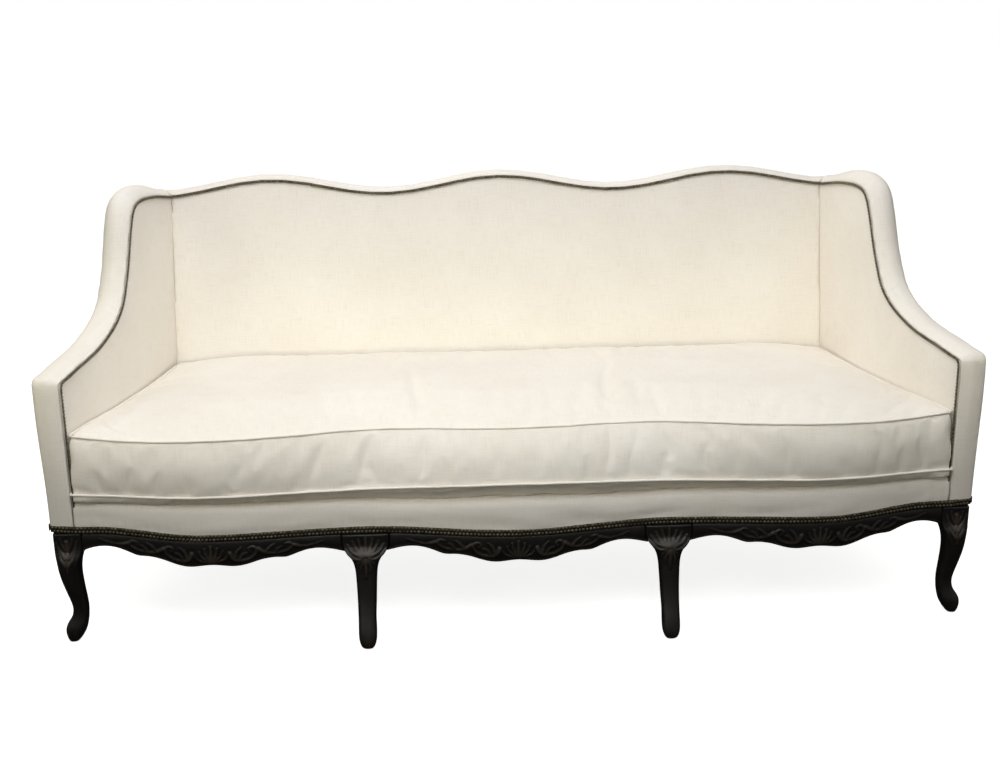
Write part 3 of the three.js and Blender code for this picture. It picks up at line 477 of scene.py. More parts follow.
@dataclass(frozen=True)
class Wall:
    """A leaning or splayed wall, with its own depth outwards, length along it and height."""

    origin: Vector
    out: Vector
    along: Vector
    up: Vector

    @staticmethod
    def arm(side: Side) -> "Wall":
        """The wall of one arm."""
        sign, lean = side.value, ARM_SPLAY
        return Wall(
            Vector((sign * ARM_FRONT_X, ARM_FRONT_Y, 0)),
            Vector((sign * math.cos(lean), math.sin(lean), 0)),
            Vector((-sign * math.sin(lean), math.cos(lean), 0)),
            Vector((0, 0, 1)),
        )

    @staticmethod
    def back() -> "Wall":
        """The raked wall of the back."""
        lean = BACK_RAKE
        return Wall(
            Vector((0, BACK_FACE_Y + ARM_FRONT_Y, WOOD_LINE)),
            Vector((0, math.cos(lean), -math.sin(lean))),
            Vector((1, 0, 0)),
            Vector((0, math.sin(lean), math.cos(lean))),
        )

    def local(self, points: np.ndarray) -> np.ndarray:
        """The points as depth, length and height in the wall."""
        moved = points - np.array(self.origin)
        return moved @ np.array([self.out, self.along, self.up]).T

    def world(self, points: np.ndarray) -> np.ndarray:
        """The points in the sofa's frame, from depth, length and height."""
        return points @ np.array([self.out, self.along, self.up]) + np.array(self.origin)


@dataclass(frozen=True)
class Serpentine:
    """A line of the sofa's front: its levels at the middle, a centre leg, amid a side bay and at the ends."""

    middle: float
    leg: float
    bay: float
    end: float

    def at(self, x: np.ndarray) -> np.ndarray:
        """The line's level at each place across the front, on cosine runs between the levels."""
        places = np.array([0.0, CENTRE_LEG_X, BAY_CENTRE_X, END_LEG_INNER_X])
        levels = np.array([self.middle, self.leg, self.bay, self.end])
        across = np.clip(np.abs(x), 0.0, places[-1])
        index = np.clip(np.searchsorted(places, across), 1, 3)
        share = (across - places[index - 1]) / (places[index] - places[index - 1])
        return levels[index - 1] + (levels[index] - levels[index - 1]) * (1 - np.cos(np.pi * share)) / 2


RAIL_FRONT = Serpentine(-0.048, -0.020, -0.034, 0.0)
WOOD_TOP = Serpentine(0.252, 0.260, 0.256, WOOD_LINE)

# Lines of the front from its middle to its ends: how far across, and how far behind the arms' fronts
UPPER_EDGE = ((0.0, 0.006), (0.10, 0.010), (0.20, 0.024), (0.28, 0.029), (0.36, 0.027), (0.43, 0.014),
              (0.50, -0.001), (0.58, -0.015), (0.68, -0.026), (0.80, -0.026), (0.89, -0.016), (0.95, -0.006),
              (1.03, 0.006))
LOWER_OVERHANG = 0.007
SEAM_RISE = ((0.0, 0.0175), (0.10, 0.0145), (0.20, 0.010), (0.28, 0.0068), (0.36, 0.005), (0.45, 0.003),
             (0.55, 0.002), (0.65, 0.0005), (0.75, 0.0), (0.95, 0.0), (1.03, 0.003))
TOP_RISE = ((0.0, 0.0), (0.86, 0.0), (0.95, 0.0035), (1.03, 0.010))
CREASE_HEIGHT = ((0.0, 0.3426), (0.10, 0.338), (0.20, 0.332), (0.28, 0.331), (0.36, 0.336), (0.45, 0.338),
                 (0.55, 0.337), (0.65, 0.339), (0.75, 0.3428), (0.83, 0.3416), (0.90, 0.3445), (0.95, 0.3465),
                 (1.03, 0.3480))
CREASE_SETBACK = 0.008
DECK_TOP = 0.350


def read_line(table: Sequence[tuple[float, float]], x: np.ndarray) -> np.ndarray:
    """A line's level at places across the front, softened over 60 mm."""
    places, levels = np.array(table).T
    near = np.linspace(-0.03, 0.03, 9)
    return np.mean([np.interp(np.abs(x + aside), places, levels) for aside in near], axis=0)


def deck_height(x: np.ndarray, y: np.ndarray) -> np.ndarray:
    """How high the deck stands: it drops over a soft shoulder to the crease along the front."""
    crease, low = RAIL_FRONT.at(x) + CREASE_SETBACK, read_line(CREASE_HEIGHT, x)
    return low + (DECK_TOP - low) * smoothstep(y, crease, crease + 0.036)


def arm_face_x(y: np.ndarray) -> np.ndarray:
    """How far out an arm's sitting face stands, at lengths behind the arms' fronts."""
    return ARM_FRONT_X - y * math.tan(ARM_SPLAY)


def back_face_y(z: np.ndarray) -> np.ndarray:
    """How far behind the arms' fronts the back's sitting face stands, at heights."""
    return BACK_FACE_Y + (z - WOOD_LINE) * math.tan(BACK_RAKE)


def resampled(line: np.ndarray, count: int, spread: float = 1.0) -> np.ndarray:
    """Points along an open line, evenly spaced, or closer at its start.

    Args:
        line: the line's corners, one row each.
        count: how many points.
        spread: above 1, the points crowd towards the start.

    Returns:
        The points, one row each.
    """
    runs = np.linalg.norm(np.diff(line, axis=0), axis=1)
    length = np.concatenate([[0.0], np.cumsum(runs)])
    at = np.linspace(0, 1, count) ** spread * length[-1]
    return np.column_stack([np.interp(at, length, column) for column in line.T])


def rounded(line: np.ndarray, passes: int = 2) -> np.ndarray:
    """Cuts the corners of an open line, keeping its ends."""
    for _ in range(passes):
        low = line[:-1] * 0.75 + line[1:] * 0.25
        high = line[:-1] * 0.25 + line[1:] * 0.75
        line = np.vstack([line[:1], np.stack([low, high], axis=1).reshape(-1, line.shape[1]), line[-1:]])
    return line


def softened(line: np.ndarray, reach: float) -> np.ndarray:
    """Bends an evenly spaced open line softly round its corners, keeping its ends.

    Args:
        line: the points, one row each.
        reach: how far the bend spreads, in metres.

    Returns:
        As many points.
    """
    step = np.linalg.norm(np.diff(line, axis=0), axis=1).mean()
    count = int(np.ceil(3 * reach / step))
    weights = np.exp(-0.5 * (np.arange(-count, count + 1) * step / reach) ** 2)
    ends = (2 * line[0] - line[count:0:-1], 2 * line[-1] - line[-2 : -count - 2 : -1])
    long = np.vstack([ends[0], line, ends[1]])
    return np.column_stack([np.convolve(column, weights / weights.sum(), "valid") for column in long.T])


def distance_to(points: np.ndarray, line: np.ndarray) -> np.ndarray:
    """How far each point is from a line given by close points."""
    near = np.full(len(points), np.inf)
    for place in line:
        near = np.minimum(near, ((points - place) ** 2).sum(axis=1))
    return np.sqrt(near)


def merged_copy(node: bpy.types.Object, name: str, crisp: float = 0.0) -> bpy.types.Object:
    """Copies a frame solid as a new piece with its loose triangles merged.

    Args:
        node: the frame's solid.
        name: the piece's name.
        crisp: the bend, in radians, above which an edge stays sharp when subdivided, or 0 for none.

    Returns:
        The new object, linked to the scene.
    """
    shape = bmesh.new()
    shape.from_mesh(node.data)
    bmesh.ops.remove_doubles(shape, verts=shape.verts, dist=1e-5)
    bmesh.ops.join_triangles(shape, faces=shape.faces, angle_face_threshold=0.6, angle_shape_threshold=1.2)
    if crisp:
        sharp = shape.edges.layers.float.new("crease_edge")
        for edge in shape.edges:
            edge[sharp] = float(len(edge.link_faces) == 2 and edge.calc_face_angle() > crisp)
    return linked(name, shape)


def linked(name: str, shape: bmesh.types.BMesh) -> bpy.types.Object:
    """Makes an object of a finished bmesh and frees it.

    Args:
        name: the piece's name.
        shape: its faces.

    Returns:
        The new object, linked to the scene.
    """
    mesh = bpy.data.meshes.new(name)
    shape.to_mesh(mesh)
    shape.free()
    return placed(name, mesh)


def placed(name: str, data: bpy.types.ID) -> bpy.types.Object:
    """Makes an object of its data, linked to the scene."""
    piece = bpy.data.objects.new(name, data)
    bpy.context.scene.collection.objects.link(piece)
    return piece


def add_box(shape: bmesh.types.BMesh, size: Sequence[float], middle: Vector) -> None:
    """Adds a box of a size to the shape, round its middle."""
    made = bmesh.ops.create_cube(shape, size=1.0)
    bmesh.ops.scale(shape, vec=size, verts=made["verts"])
    bmesh.ops.translate(shape, vec=middle, verts=made["verts"])


def add_modifier(piece: bpy.types.Object, kind: str, **settings: object) -> bpy.types.Modifier:
    """Gives the piece a modifier with its settings."""
    modifier = piece.modifiers.new(kind.lower(), kind)
    for key, value in settings.items():
        setattr(modifier, key, value)
    return modifier


def evaluated_mesh(piece: bpy.types.Object) -> bpy.types.Mesh:
    """A new mesh of the object as its modifiers or its curve settings make it."""
    graph = bpy.context.evaluated_depsgraph_get()
    return bpy.data.meshes.new_from_object(piece.evaluated_get(graph), depsgraph=graph)


def apply_modifiers(piece: bpy.types.Object) -> None:
    """Turns the piece's modifiers into its mesh."""
    finished = evaluated_mesh(piece)
    piece.modifiers.clear()
    old = piece.data
    piece.data = finished
    bpy.data.meshes.remove(old)


def thicken(piece: bpy.types.Object, wall: float, offset: float = 0.0) -> None:
    """Gives a surface its wall, to both sides of it, or behind it where the offset is -1."""
    add_modifier(piece, "SOLIDIFY", thickness=wall, offset=offset)
    apply_modifiers(piece)


def flat_sheet(name: str, columns: int, rows: int) -> tuple[bpy.types.Object, np.ndarray, np.ndarray]:
    """Makes a sheet of even faces.

    Args:
        name: the piece's name.
        columns: how many faces it has across.
        rows: how many it has along.

    Returns:
        The sheet, and its points' places across, from -1 to 1, and along, from 0 to 1.
    """
    shape = bmesh.new()
    bmesh.ops.create_grid(shape, x_segments=columns, y_segments=rows, size=0.5)
    piece = linked(name, shape)
    flat = points_of(piece.data)
    return piece, flat[:, 0] * 2, flat[:, 1] + 0.5


def remesh(piece: bpy.types.Object, voxel: float, smoothing: int) -> None:
    """Gives the piece an even mesh with softened edges.

    Args:
        piece: the piece.
        voxel: the width of its faces.
        smoothing: how many times its points are drawn together.
    """
    add_modifier(piece, "REMESH", mode="VOXEL", voxel_size=voxel)
    add_modifier(piece, "SMOOTH", factor=0.5, iterations=smoothing)
    apply_modifiers(piece)


def subdivide(piece: bpy.types.Object, levels: int) -> None:
    """Rounds the piece by subdividing it."""
    add_modifier(piece, "SUBSURF", levels=levels, render_levels=levels)
    apply_modifiers(piece)


def lay_cloth(mesh: bpy.types.Mesh, wall: Wall | None = None) -> None:
    """Lays a cloth map on the mesh, in metres along its yarns, from the side that each face looks to.

    Args:
        mesh: the piece's mesh.
        wall: the wall whose own directions the yarns follow, or None for the sofa's own.
    """
    points = points_of(mesh)
    if wall is None:
        frame = np.array([[0, 1, 0], [1, 0, 0], [0, 0, 1]], float)
    else:
        frame = np.array([wall.out, wall.along, wall.up])
    own = points @ frame.T
    main = np.argmax(np.abs(vectors_of(mesh.polygons, "normal") @ frame.T), axis=1)
    counts = np.empty(len(mesh.polygons), np.int32)
    mesh.polygons.foreach_get("loop_total", counts)
    corners = np.empty(len(mesh.loops), np.int32)
    mesh.loops.foreach_get("vertex_index", corners)
    side = np.repeat(main, counts)
    at = own[corners]
    across = np.where(side == 1, at[:, 0], at[:, 1])
    upward = np.where(side == 2, at[:, 0], at[:, 2])
    layer = mesh.uv_layers.new(name="cloth")
    layer.data.foreach_set("uv", np.column_stack([across, upward]).astype(np.float32).ravel())


def set_attribute(mesh: bpy.types.Mesh, name: str, values: np.ndarray) -> None:
    """Keeps one number for each point under a name that a material reads."""
    layer = mesh.attributes.new(name, "FLOAT", "POINT")
    layer.data.foreach_set("value", values.astype(np.float32))


class Workshop:
    """What every sub-assembly needs: the frame's solids, the finishes, and how a piece is handed over."""

    def __init__(self, frame: dict, finishes: Finishes) -> None:
        """Keeps the frame and the finishes.

        Args:
            finishes: the sofa's finishes.
        """
        self.nodes: dict[str, bpy.types.Object] = frame["nodes"]
        self.finishes = finishes

    def hand_over(self, piece: bpy.types.Object, slot: Slot, body: str, stands_for: Iterable[str]) -> None:
        """Smooths, finishes and places a piece, and says what it stands for.

        Args:
            piece: the finished shape.
            slot: the finish that it takes.
            body: the moving or fixed body that it goes with.
            stands_for: the frame's nodes that it replaces.
        """
        piece.data.shade_smooth()
        piece.data.materials.clear()
        piece.data.materials.append(self.finishes[slot])
        names = list(stands_for)
        if names:
            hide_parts(*names)
        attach(piece, body)
        LOG.info("%s: %d faces, for %s", piece.name, len(piece.data.polygons), ", ".join(names) or "itself")

    def dress(self, names: Iterable[str], slot: Slot) -> None:
        """Gives frame solids that keep their shape their finish.

        Args:
            names: the nodes' names.
            slot: the finish that they take.
        """
        for name in names:
            node = self.nodes[name]
            if not node.data.materials:
                node.data.materials.append(self.finishes[slot])
            for place in node.material_slots:
                place.material = self.finishes[slot]
            LOG.info("%s: keeps its shape, in %s", name, slot.value)


# Upholstery on the arms and the back


@dataclass
class Upholstery:
    """The linen over the arms and the back: inside pads, rolled borders and outside covers."""

    shop: Workshop
    fine_voxel: float = 0.0045
    pad_voxel: float = 0.006
    undulation: float = 0.0012
    undulation_reach: float = 0.19
    border_swell: float = 0.0075
    border_rise: tuple[float, float] = (0.34, 0.58)
    border_ease: tuple[float, float] = (0.66, 0.80)
    border_edge: tuple[float, float] = (0.008, 0.035)
    outward: float = 0.85
    pad_overlap: float = 0.003
    back_overlap: float = 0.0066

    def build(self) -> None:
        """Builds all the nailed linen."""
        back = Wall.back()
        self.panel("inside_back_pad", back, self.pad_voxel, 4, 0.7)
        self.panel("back_border", back, self.fine_voxel, 10, 0.8)
        self.panel("outside_back_cover", back, self.fine_voxel + 0.001, 3, 0.2)
        for side in Side:
            wall = Wall.arm(side)
            self.panel(f"inside_arm_pad_{side.suffix}", wall, self.pad_voxel - 0.001, 4, 0.7)
            self.panel(f"arm_border_{side.suffix}", wall, self.fine_voxel, 18, 0.8)
            self.panel(f"outside_arm_cover_{side.suffix}", wall, self.fine_voxel, 3, 0.2)

    def panel(self, name: str, wall: Wall, voxel: float, smoothing: int, fill: float) -> None:
        """Builds one stuffed or stretched panel from its frame solid.

        Args:
            name: the node's name.
            wall: the wall that it covers.
            voxel: the width of its faces.
            smoothing: how far its edges are softened.
            fill: how full it is, from 0 to 1.
        """
        piece = merged_copy(self.shop.nodes[name], name + "_linen")
        face = float(wall.local(points_of(piece.data))[:, 0].max())
        remesh(piece, voxel, smoothing)
        points = points_of(piece.data)
        own = wall.local(points)
        if name.startswith("outside"):
            outward = normals_of(piece.data) @ np.array(wall.out) > self.outward
            own[:, 0] = np.where(outward, face, own[:, 0])
            points = wall.world(own)
            set_points(piece.data, points)
        swell = wander(points, self.undulation_reach, 3.1) * self.undulation * fill
        if name.startswith("arm_border"):
            ease = 1 - 0.5 * smoothstep(own[:, 2], *self.border_ease)
            high = 0.3 + 0.7 * smoothstep(own[:, 2], *self.border_rise) * ease
            swell += self.border_swell * high * smoothstep(own[:, 0], *self.border_edge)
        if name in ("inside_back_pad", "back_border"):
            across = np.abs(own[:, 1])
            ends = smoothstep(across, across.max() - 0.05, across.max())
            points[:, 0] += np.sign(points[:, 0]) * ends * self.back_overlap
        elif name.startswith("inside_arm_pad"):
            ends = smoothstep(own[:, 1], own[:, 1].max() - 0.16, own[:, 1].max() - 0.10)
            points += np.array(wall.along) * (ends * self.pad_overlap)[:, None]
        set_points(piece.data, points + normals_of(piece.data) * swell[:, None])
        lay_cloth(piece.data, wall)
        self.shop.hand_over(piece, Slot.LINEN, FRAME_BODY, [name])


# Seat deck, webbing and dust cover


@dataclass
class SeatDeck:
    """The tight linen deck under the cushion, its wadding, the webbing below and the black cloth under it."""

    shop: Workshop
    columns: int = 440
    rows: int = 46
    cloth: float = 0.0028
    gather: float = 0.0016
    tuck_rise: float = 0.0075
    strap_width: float = 0.050
    strap_thickness: float = 0.0011
    strap_inset: float = 0.060
    straps_along: int = 8
    straps_across: int = 3
    strap_reach: float = 0.70
    strap_margin: float = 0.12
    rail_depth: float = 0.05
    webbing_z: float = 0.2311
    dust_z: float = 0.2288
    dust_cloth: float = 0.0009
    dust_sag: float = 0.004
    dust_setback: float = 0.057
    dust_overlap: float = 0.003
    band_foot: float = 0.020
    band_bends: tuple[tuple[float, float], ...] = ((0.0, -0.0010), (0.40, -0.0025), (0.76, -0.0010))
    band_rise: tuple[float, float] = (0.012, 0.024)
    band_ease: tuple[float, float] = (0.040, 0.060)
    fold_rise: tuple[float, float] = (0.93, 0.98)
    fold_ease: tuple[float, float] = (0.99, 1.015)
    shoulder_runs: tuple[float, ...] = (0.002, 0.014, 0.026)
    front_clearance: float = 0.0015
    crease_width: float = 0.038
    tuck_depth: float = 0.0125
    nail_pitch: float = 0.0252
    wadding_voxel: float = 0.008
    wadding_gap: float = 0.001
    wadding_setback: float = 0.0060

    def build(self) -> None:
        """Builds the seat's layers from the top down."""
        self.cover()
        self.wadding()
        self.webbing()
        self.dust_cover()

    def cover(self) -> None:
        """Stretches the linen from the wood over the rounded nose to the back."""
        piece, across, along = flat_sheet("deck_cover_linen", self.columns, self.rows)
        columns = np.round((across + 1) / 2 * self.columns).astype(int)
        rows = np.round(along * self.rows).astype(int)
        lines = np.array([self._line((2 * column / self.columns - 1) * ARM_FRONT_X)
                          for column in range(self.columns + 1)])
        y, z = lines[columns, rows].T
        x = across * (arm_face_x(y) - GAP / math.cos(ARM_SPLAY))
        points = np.column_stack([x, y + ARM_FRONT_Y, z])
        points[:, 1] -= self._pull(x, z)
        set_points(piece.data, points)
        if np.mean([face.normal.z for face in piece.data.polygons]) < 0:
            piece.data.flip_normals()
        thicken(piece, self.cloth, -1.0)
        lay_cloth(piece.data)
        self.shop.hand_over(piece, Slot.LINEN, FRAME_BODY, ["deck_cover"])

    def _line(self, x: float) -> np.ndarray:
        """The deck's line at a place across the front, as rows of depth and height.

        Args:
            x: the place.

        Returns:
            Points that crowd towards the wood, with the edge tucked under the back's pad last.
        """
        rail, wood = float(RAIL_FRONT.at(x)), float(WOOD_TOP.at(x)) + 2 * GAP
        front, crease = rail + self.front_clearance, rail + CREASE_SETBACK
        height, foot = float(read_line(CREASE_HEIGHT, x)), wood + self.band_foot
        rise = height - wood - self.band_foot
        band = [(front + out, foot + share * rise) for share, out in self.band_bends]
        shoulder = [(crease + run, float(deck_height(np.array(x), np.array(crease + run))))
                    for run in self.shoulder_runs]
        back = float(back_face_y(DECK_TOP))
        corners = [(front, wood), *band, (front + 0.0030, height - 0.0020), *shoulder,
                   (crease + self.crease_width, DECK_TOP), (back - 0.0005, DECK_TOP)]
        tuck = [(back + 0.0060, DECK_TOP + 0.6 * self.tuck_rise),
                (back + self.tuck_depth, DECK_TOP + self.tuck_rise)]
        return np.vstack([resampled(rounded(np.array(corners)), self.rows - 1, 1.9), tuck])

    def _pull(self, x: np.ndarray, z: np.ndarray) -> np.ndarray:
        """How far the front band is drawn forward and back by its nails and at the arms."""
        above = z - WOOD_TOP.at(x)
        band = window(above, self.band_rise, self.band_ease)
        tucks = np.cos(2 * np.pi * x / self.nail_pitch) * 0.35 * (1 - smoothstep(above, 0.02, 0.045))
        end = window(np.abs(x), self.fold_rise, self.fold_ease)
        folds = np.sin(np.abs(x) * 110) * 0.6 * end * (1 - smoothstep(above, 0.03, 0.05))
        return band * self.gather * (tucks + folds + wander(np.column_stack([x, above * 3, z]), 0.09, 5.0))

    def wadding(self) -> None:
        """Builds the deck's wadding, which stays under its linen."""
        piece = merged_copy(self.shop.nodes["deck_pad"], "deck_wadding")
        remesh(piece, self.wadding_voxel, 2)
        points = points_of(piece.data)
        linen = deck_height(points[:, 0], points[:, 1] - ARM_FRONT_Y) - self.cloth
        points[:, 2] = np.minimum(points[:, 2], linen - self.wadding_gap)
        front = RAIL_FRONT.at(points[:, 0]) + self.wadding_setback + ARM_FRONT_Y
        points[:, 1] = np.maximum(points[:, 1], front)
        set_points(piece.data, points)
        self.shop.hand_over(piece, Slot.PADDING, FRAME_BODY, ["deck_pad"])

    def _strap(
        self, shape: bmesh.types.BMesh, start: Vector, end: Vector, phase: int, crossings: list[float]
    ) -> None:
        """Lays one strap that passes over and under those that cross it.

        Args:
            shape: the webbing so far.
            start: the middle of the strap's one end.
            end: the middle of its other end.
            phase: 0 to pass over the first strap, 1 to pass under it.
            crossings: the places along the strap where others cross, in metres from its start.
        """
        before = set(shape.verts)
        bmesh.ops.create_grid(shape, x_segments=64, y_segments=2, size=0.5)
        run = end - start
        length = run.length
        along, aside = run.normalized(), Vector((0, 0, 1)).cross(run.normalized())
        for vert in set(shape.verts) - before:
            place = (vert.co.x + 0.5) * length
            near = [(place - at) / (self.strap_width * 0.75) for at in crossings]
            lift = sum((-1) ** (index + phase) * math.exp(-(share**2)) for index, share in enumerate(near))
            side = aside * vert.co.y * self.strap_width
            vert.co = start + along * place + side + Vector((0, 0, lift * self.strap_thickness * 0.55))

    def webbing(self) -> None:
        """Weaves the jute straps that carry the springs."""
        low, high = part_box("seat_webbing")
        shape = bmesh.new()
        rear = high.y
        xs = np.linspace(-self.strap_reach, self.strap_reach, self.straps_along)
        front = low.y + self.rail_depth
        ys = np.linspace(front + self.strap_margin, rear - self.strap_margin, self.straps_across)
        for index, x in enumerate(xs):
            start = Vector((x, float(RAIL_FRONT.at(x)) + ARM_FRONT_Y + self.strap_inset, self.webbing_z))
            crossings = [float(y - start.y) for y in ys]
            self._strap(shape, start, Vector((x, rear - 0.002, self.webbing_z)), index % 2, crossings)
        for index, y in enumerate(ys):
            reach = float(arm_face_x(y - ARM_FRONT_Y)) - 0.004
            start = Vector((-reach, y, self.webbing_z))
            self._strap(shape, start, Vector((reach, y, self.webbing_z)), (index + 1) % 2,
                        [float(x + reach) for x in xs])
        piece = linked("woven_webbing", shape)
        thicken(piece, self.strap_thickness)
        self.shop.hand_over(piece, Slot.JUTE, FRAME_BODY, ["seat_webbing"])

    def dust_cover(self) -> None:
        """Tacks the black cloth under the seat, with a slight sag."""
        low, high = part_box("dust_cover")
        piece, across, along = flat_sheet("dust_cover_cloth", 120, 36)
        x = across * high.x
        for _ in range(3):
            front = RAIL_FRONT.at(x) + self.dust_setback + ARM_FRONT_Y
            y = front + along * (high.y - front)
            x = across * np.minimum(high.x - 0.001, arm_face_x(y - ARM_FRONT_Y) + self.dust_overlap)
        sag = self.dust_sag * (1 - across**2) * (1 - (2 * along - 1) ** 2)
        set_points(piece.data, np.column_stack([x, y, self.dust_z - sag]))
        thicken(piece, self.dust_cloth)
        self.shop.hand_over(piece, Slot.DUST_CLOTH, FRAME_BODY, ["dust_cover"])


# Nails


@dataclass
class NailRows:
    """The close bronze nails: one row round the linen of the arms and back, two along the base, whose heads
    are painted darker as painted shade.
    """

    shop: Workshop
    radius: float = 0.0042
    rise: float = 0.0028
    seat: float = 0.0010
    base_seat: float = 0.0020
    pitch: float = 0.0086
    strip_width: float = 0.6
    strip_drop: float = 0.0024
    base_radius: float = 0.0044
    base_pitch: float = 0.0088
    base_rows: float = 0.0041
    edge_inset: float = 0.008
    bend: float = 0.008
    end_start: float = 1.075
    end_share: float = 0.66
    thinned: float = 0.030
    crest: float = 0.0036
    base_middle: float = 0.0085
    samples: int = 1200
    front_samples: int = 900
    station: float = 0.002
    tilt: float = 0.045
    uneven: float = 0.02
    head_sides: int = 10
    head_rings: int = 6
    tone: float = 0.30
    # The base rows' heads take a darker mean tone: painted shade for the shadow that falls low along the
    # base.
    base_tone: float = 0.14
    tone_spread: float = 0.08
    crown_tone: float = 0.12

    def build(self) -> None:
        """Drives every nail into its bronze strip."""
        front = self._front_strip()
        back = Wall.back()
        ridge = self._ridge("nail_trim_back", back)
        ridge = ridge[np.argsort(ridge[:, 1])]
        self._strip("nail_trim_back", back, ridge)
        self._row("nails_back", [self._spaced(ridge, back)])
        for side in Side:
            wall = Wall.arm(side)
            name = f"nail_trim_arm_{side.suffix}"
            ridge = self._chain(self._ridge(name, wall))
            self._strip(name, wall, ridge)
            self._row(f"nails_arm_{side.suffix}", [self._spaced(ridge, wall)])
            name = f"nail_trim_base_{side.suffix}"
            self._side_strip(name, wall)
            outside = self._ridge(name, wall, outside=True)
            outside[:, 1] = np.maximum(outside[:, 1], outside[:, 1].min() + self.thinned * 0.55)
            places = self._spaced(outside[np.argsort(outside[:, 1])], wall, self.base_pitch, flip=True)
            self._row(f"nails_base_{side.suffix}", self._doubled(places), self.base_radius)
        self._row("nails_base_front", self._doubled(self._front_line(front)), self.base_radius)

    def _ridge(self, name: str, wall: Wall, outside: bool = False) -> np.ndarray:
        """The crest of a trim's solid, as depth, length and height in its wall."""
        own = np.unique(wall.local(points_of(self.shop.nodes[name].data)).round(5), axis=0)
        crest = own[:, 0].max() if outside else own[:, 0].min()
        return own[np.abs(own[:, 0] - crest) < 0.0004]

    def _strip(self, name: str, wall: Wall, ridge: np.ndarray) -> None:
        """Builds the narrow bronze strip that shows between the heads, pressed into the linen.

        Args:
            name: the trim's node.
            wall: the wall that it lies on.
            ridge: the trim's crest in the wall, in order.
        """
        piece = merged_copy(self.shop.nodes[name], name + "_strip")
        own = wall.local(points_of(piece.data))
        line = resampled(ridge, self.samples)[:, 1:]
        bent = softened(resampled(ridge, self.samples), self.bend)[:, 1:]
        near = np.array([np.argmin(((line - place) ** 2).sum(axis=1)) for place in own[:, 1:]])
        own[:, 1:] = bent[near] + (own[:, 1:] - line[near]) * self.strip_width
        own[:, 0] = np.maximum(own[:, 0], own[:, 0].min() + self.strip_drop)
        set_points(piece.data, wall.world(own))
        self.shop.hand_over(piece, Slot.NAIL_BRONZE, FRAME_BODY, [name])

    def _front_strip(self) -> np.ndarray:
        """Builds the base's front strip, drawn in to the arms' rounded corners, and returns its points."""
        piece = merged_copy(self.shop.nodes["nail_trim_base_front"], "nail_trim_base_front_strip")
        points = points_of(piece.data)
        past = np.maximum(np.abs(points[:, 0]) - self.end_start, 0) * (1 - self.end_share)
        points[:, 0] -= np.sign(points[:, 0]) * past
        set_points(piece.data, points)
        self.shop.hand_over(piece, Slot.NAIL_BRONZE, FRAME_BODY, ["nail_trim_base_front"])
        return points

    def _side_strip(self, name: str, wall: Wall) -> None:
        """Builds a side's base strip, thinned out at its front end so that it meets the corner flush.

        Args:
            name: the trim's node.
            wall: the wall that it lies on.
        """
        piece = merged_copy(self.shop.nodes[name], name + "_strip")
        start = float(wall.local(points_of(piece.data))[:, 1].min())
        shape = bmesh.new()
        shape.from_mesh(piece.data)
        for share in (0.3, 0.65, 1.0):
            place = wall.origin + wall.along * (start + share * self.thinned)
            bmesh.ops.bisect_plane(shape, geom=[*shape.verts, *shape.edges, *shape.faces], plane_co=place,
                                   plane_no=wall.along)
        shape.to_mesh(piece.data)
        shape.free()
        own = wall.local(points_of(piece.data))
        face = float(own[:, 0].min())
        full = smoothstep(own[:, 1], start, start + self.thinned)
        own[:, 0] = face + (own[:, 0] - face) * (0.12 + 0.88 * full)
        set_points(piece.data, wall.world(own))
        self.shop.hand_over(piece, Slot.NAIL_BRONZE, FRAME_BODY, [name])

    @staticmethod
    def _chain(points: np.ndarray) -> np.ndarray:
        """Puts the crest's points in order, from the foot of the arm's front to the back."""
        left = list(range(len(points)))
        at = min(left, key=lambda index: points[index, 2] + points[index, 1])
        order = [at]
        left.remove(at)
        while left:
            at = min(left, key=lambda index: float(np.linalg.norm(points[index] - points[order[-1]])))
            order.append(at)
            left.remove(at)
        return points[order]

    def _spaced(
        self, crest: np.ndarray, wall: Wall, pitch: float | None = None, flip: bool = False
    ) -> tuple[np.ndarray, np.ndarray]:
        """The nails' places and the ways that they face, along a crest.

        Args:
            crest: the crest's points in the wall.
            wall: the wall that the nails are driven into.
            pitch: the nails' spacing, or None for that of the single rows.
            flip: whether the nails are on the wall's outer side.

        Returns:
            The places and the facing directions, one row each.
        """
        step = pitch or self.pitch
        line = softened(resampled(crest, self.samples), self.bend)
        line[:, 0] += self.base_seat - self.crest if flip else self.crest - self.seat
        length = np.linalg.norm(np.diff(line, axis=0), axis=1).sum()
        places = resampled(line, max(2, round((length - step) / step) + 1))
        places[0] += (places[1] - places[0]) * (step * 0.5 / length)
        facing = np.tile(np.array(wall.out) * (1 if flip else -1), (len(places), 1))
        return wall.world(places), facing

    def _front_line(self, points: np.ndarray) -> tuple[np.ndarray, np.ndarray]:
        """The places along the middle of the front's double row, and the ways they face.

        Args:
            points: the front strip's points.

        Returns:
            The places and the facing directions, one row each.
        """
        reach = float(points[:, 0].max()) - self.edge_inset * 0.6
        x = np.linspace(-reach, reach, self.front_samples)
        past = np.maximum(np.abs(x) - ARM_FRONT_X, 0)
        out = np.where(past > 0, past * math.tan(ARM_SPLAY) - 0.0015, 0.0015)
        y = RAIL_FRONT.at(x) + out - self.base_seat
        steps = np.round(points[:, 0] / self.station) * self.station
        stations, firsts = np.unique(steps, return_inverse=True)
        crest = np.full(len(stations), np.inf)
        np.minimum.at(crest, firsts, points[:, 1] - ARM_FRONT_Y)
        y = np.minimum(y, np.interp(x, stations, crest) + 0.0012)
        z = WOOD_TOP.at(x) + GAP + self.base_middle
        line = np.column_stack([x, y + ARM_FRONT_Y, z])
        length = np.linalg.norm(np.diff(line, axis=0), axis=1).sum()
        places = resampled(line, round(length / self.base_pitch) + 1)
        run = np.gradient(places, axis=0)
        facing = np.column_stack([run[:, 1], -run[:, 0], np.zeros(len(run))])
        return places, facing / np.linalg.norm(facing, axis=1)[:, None]

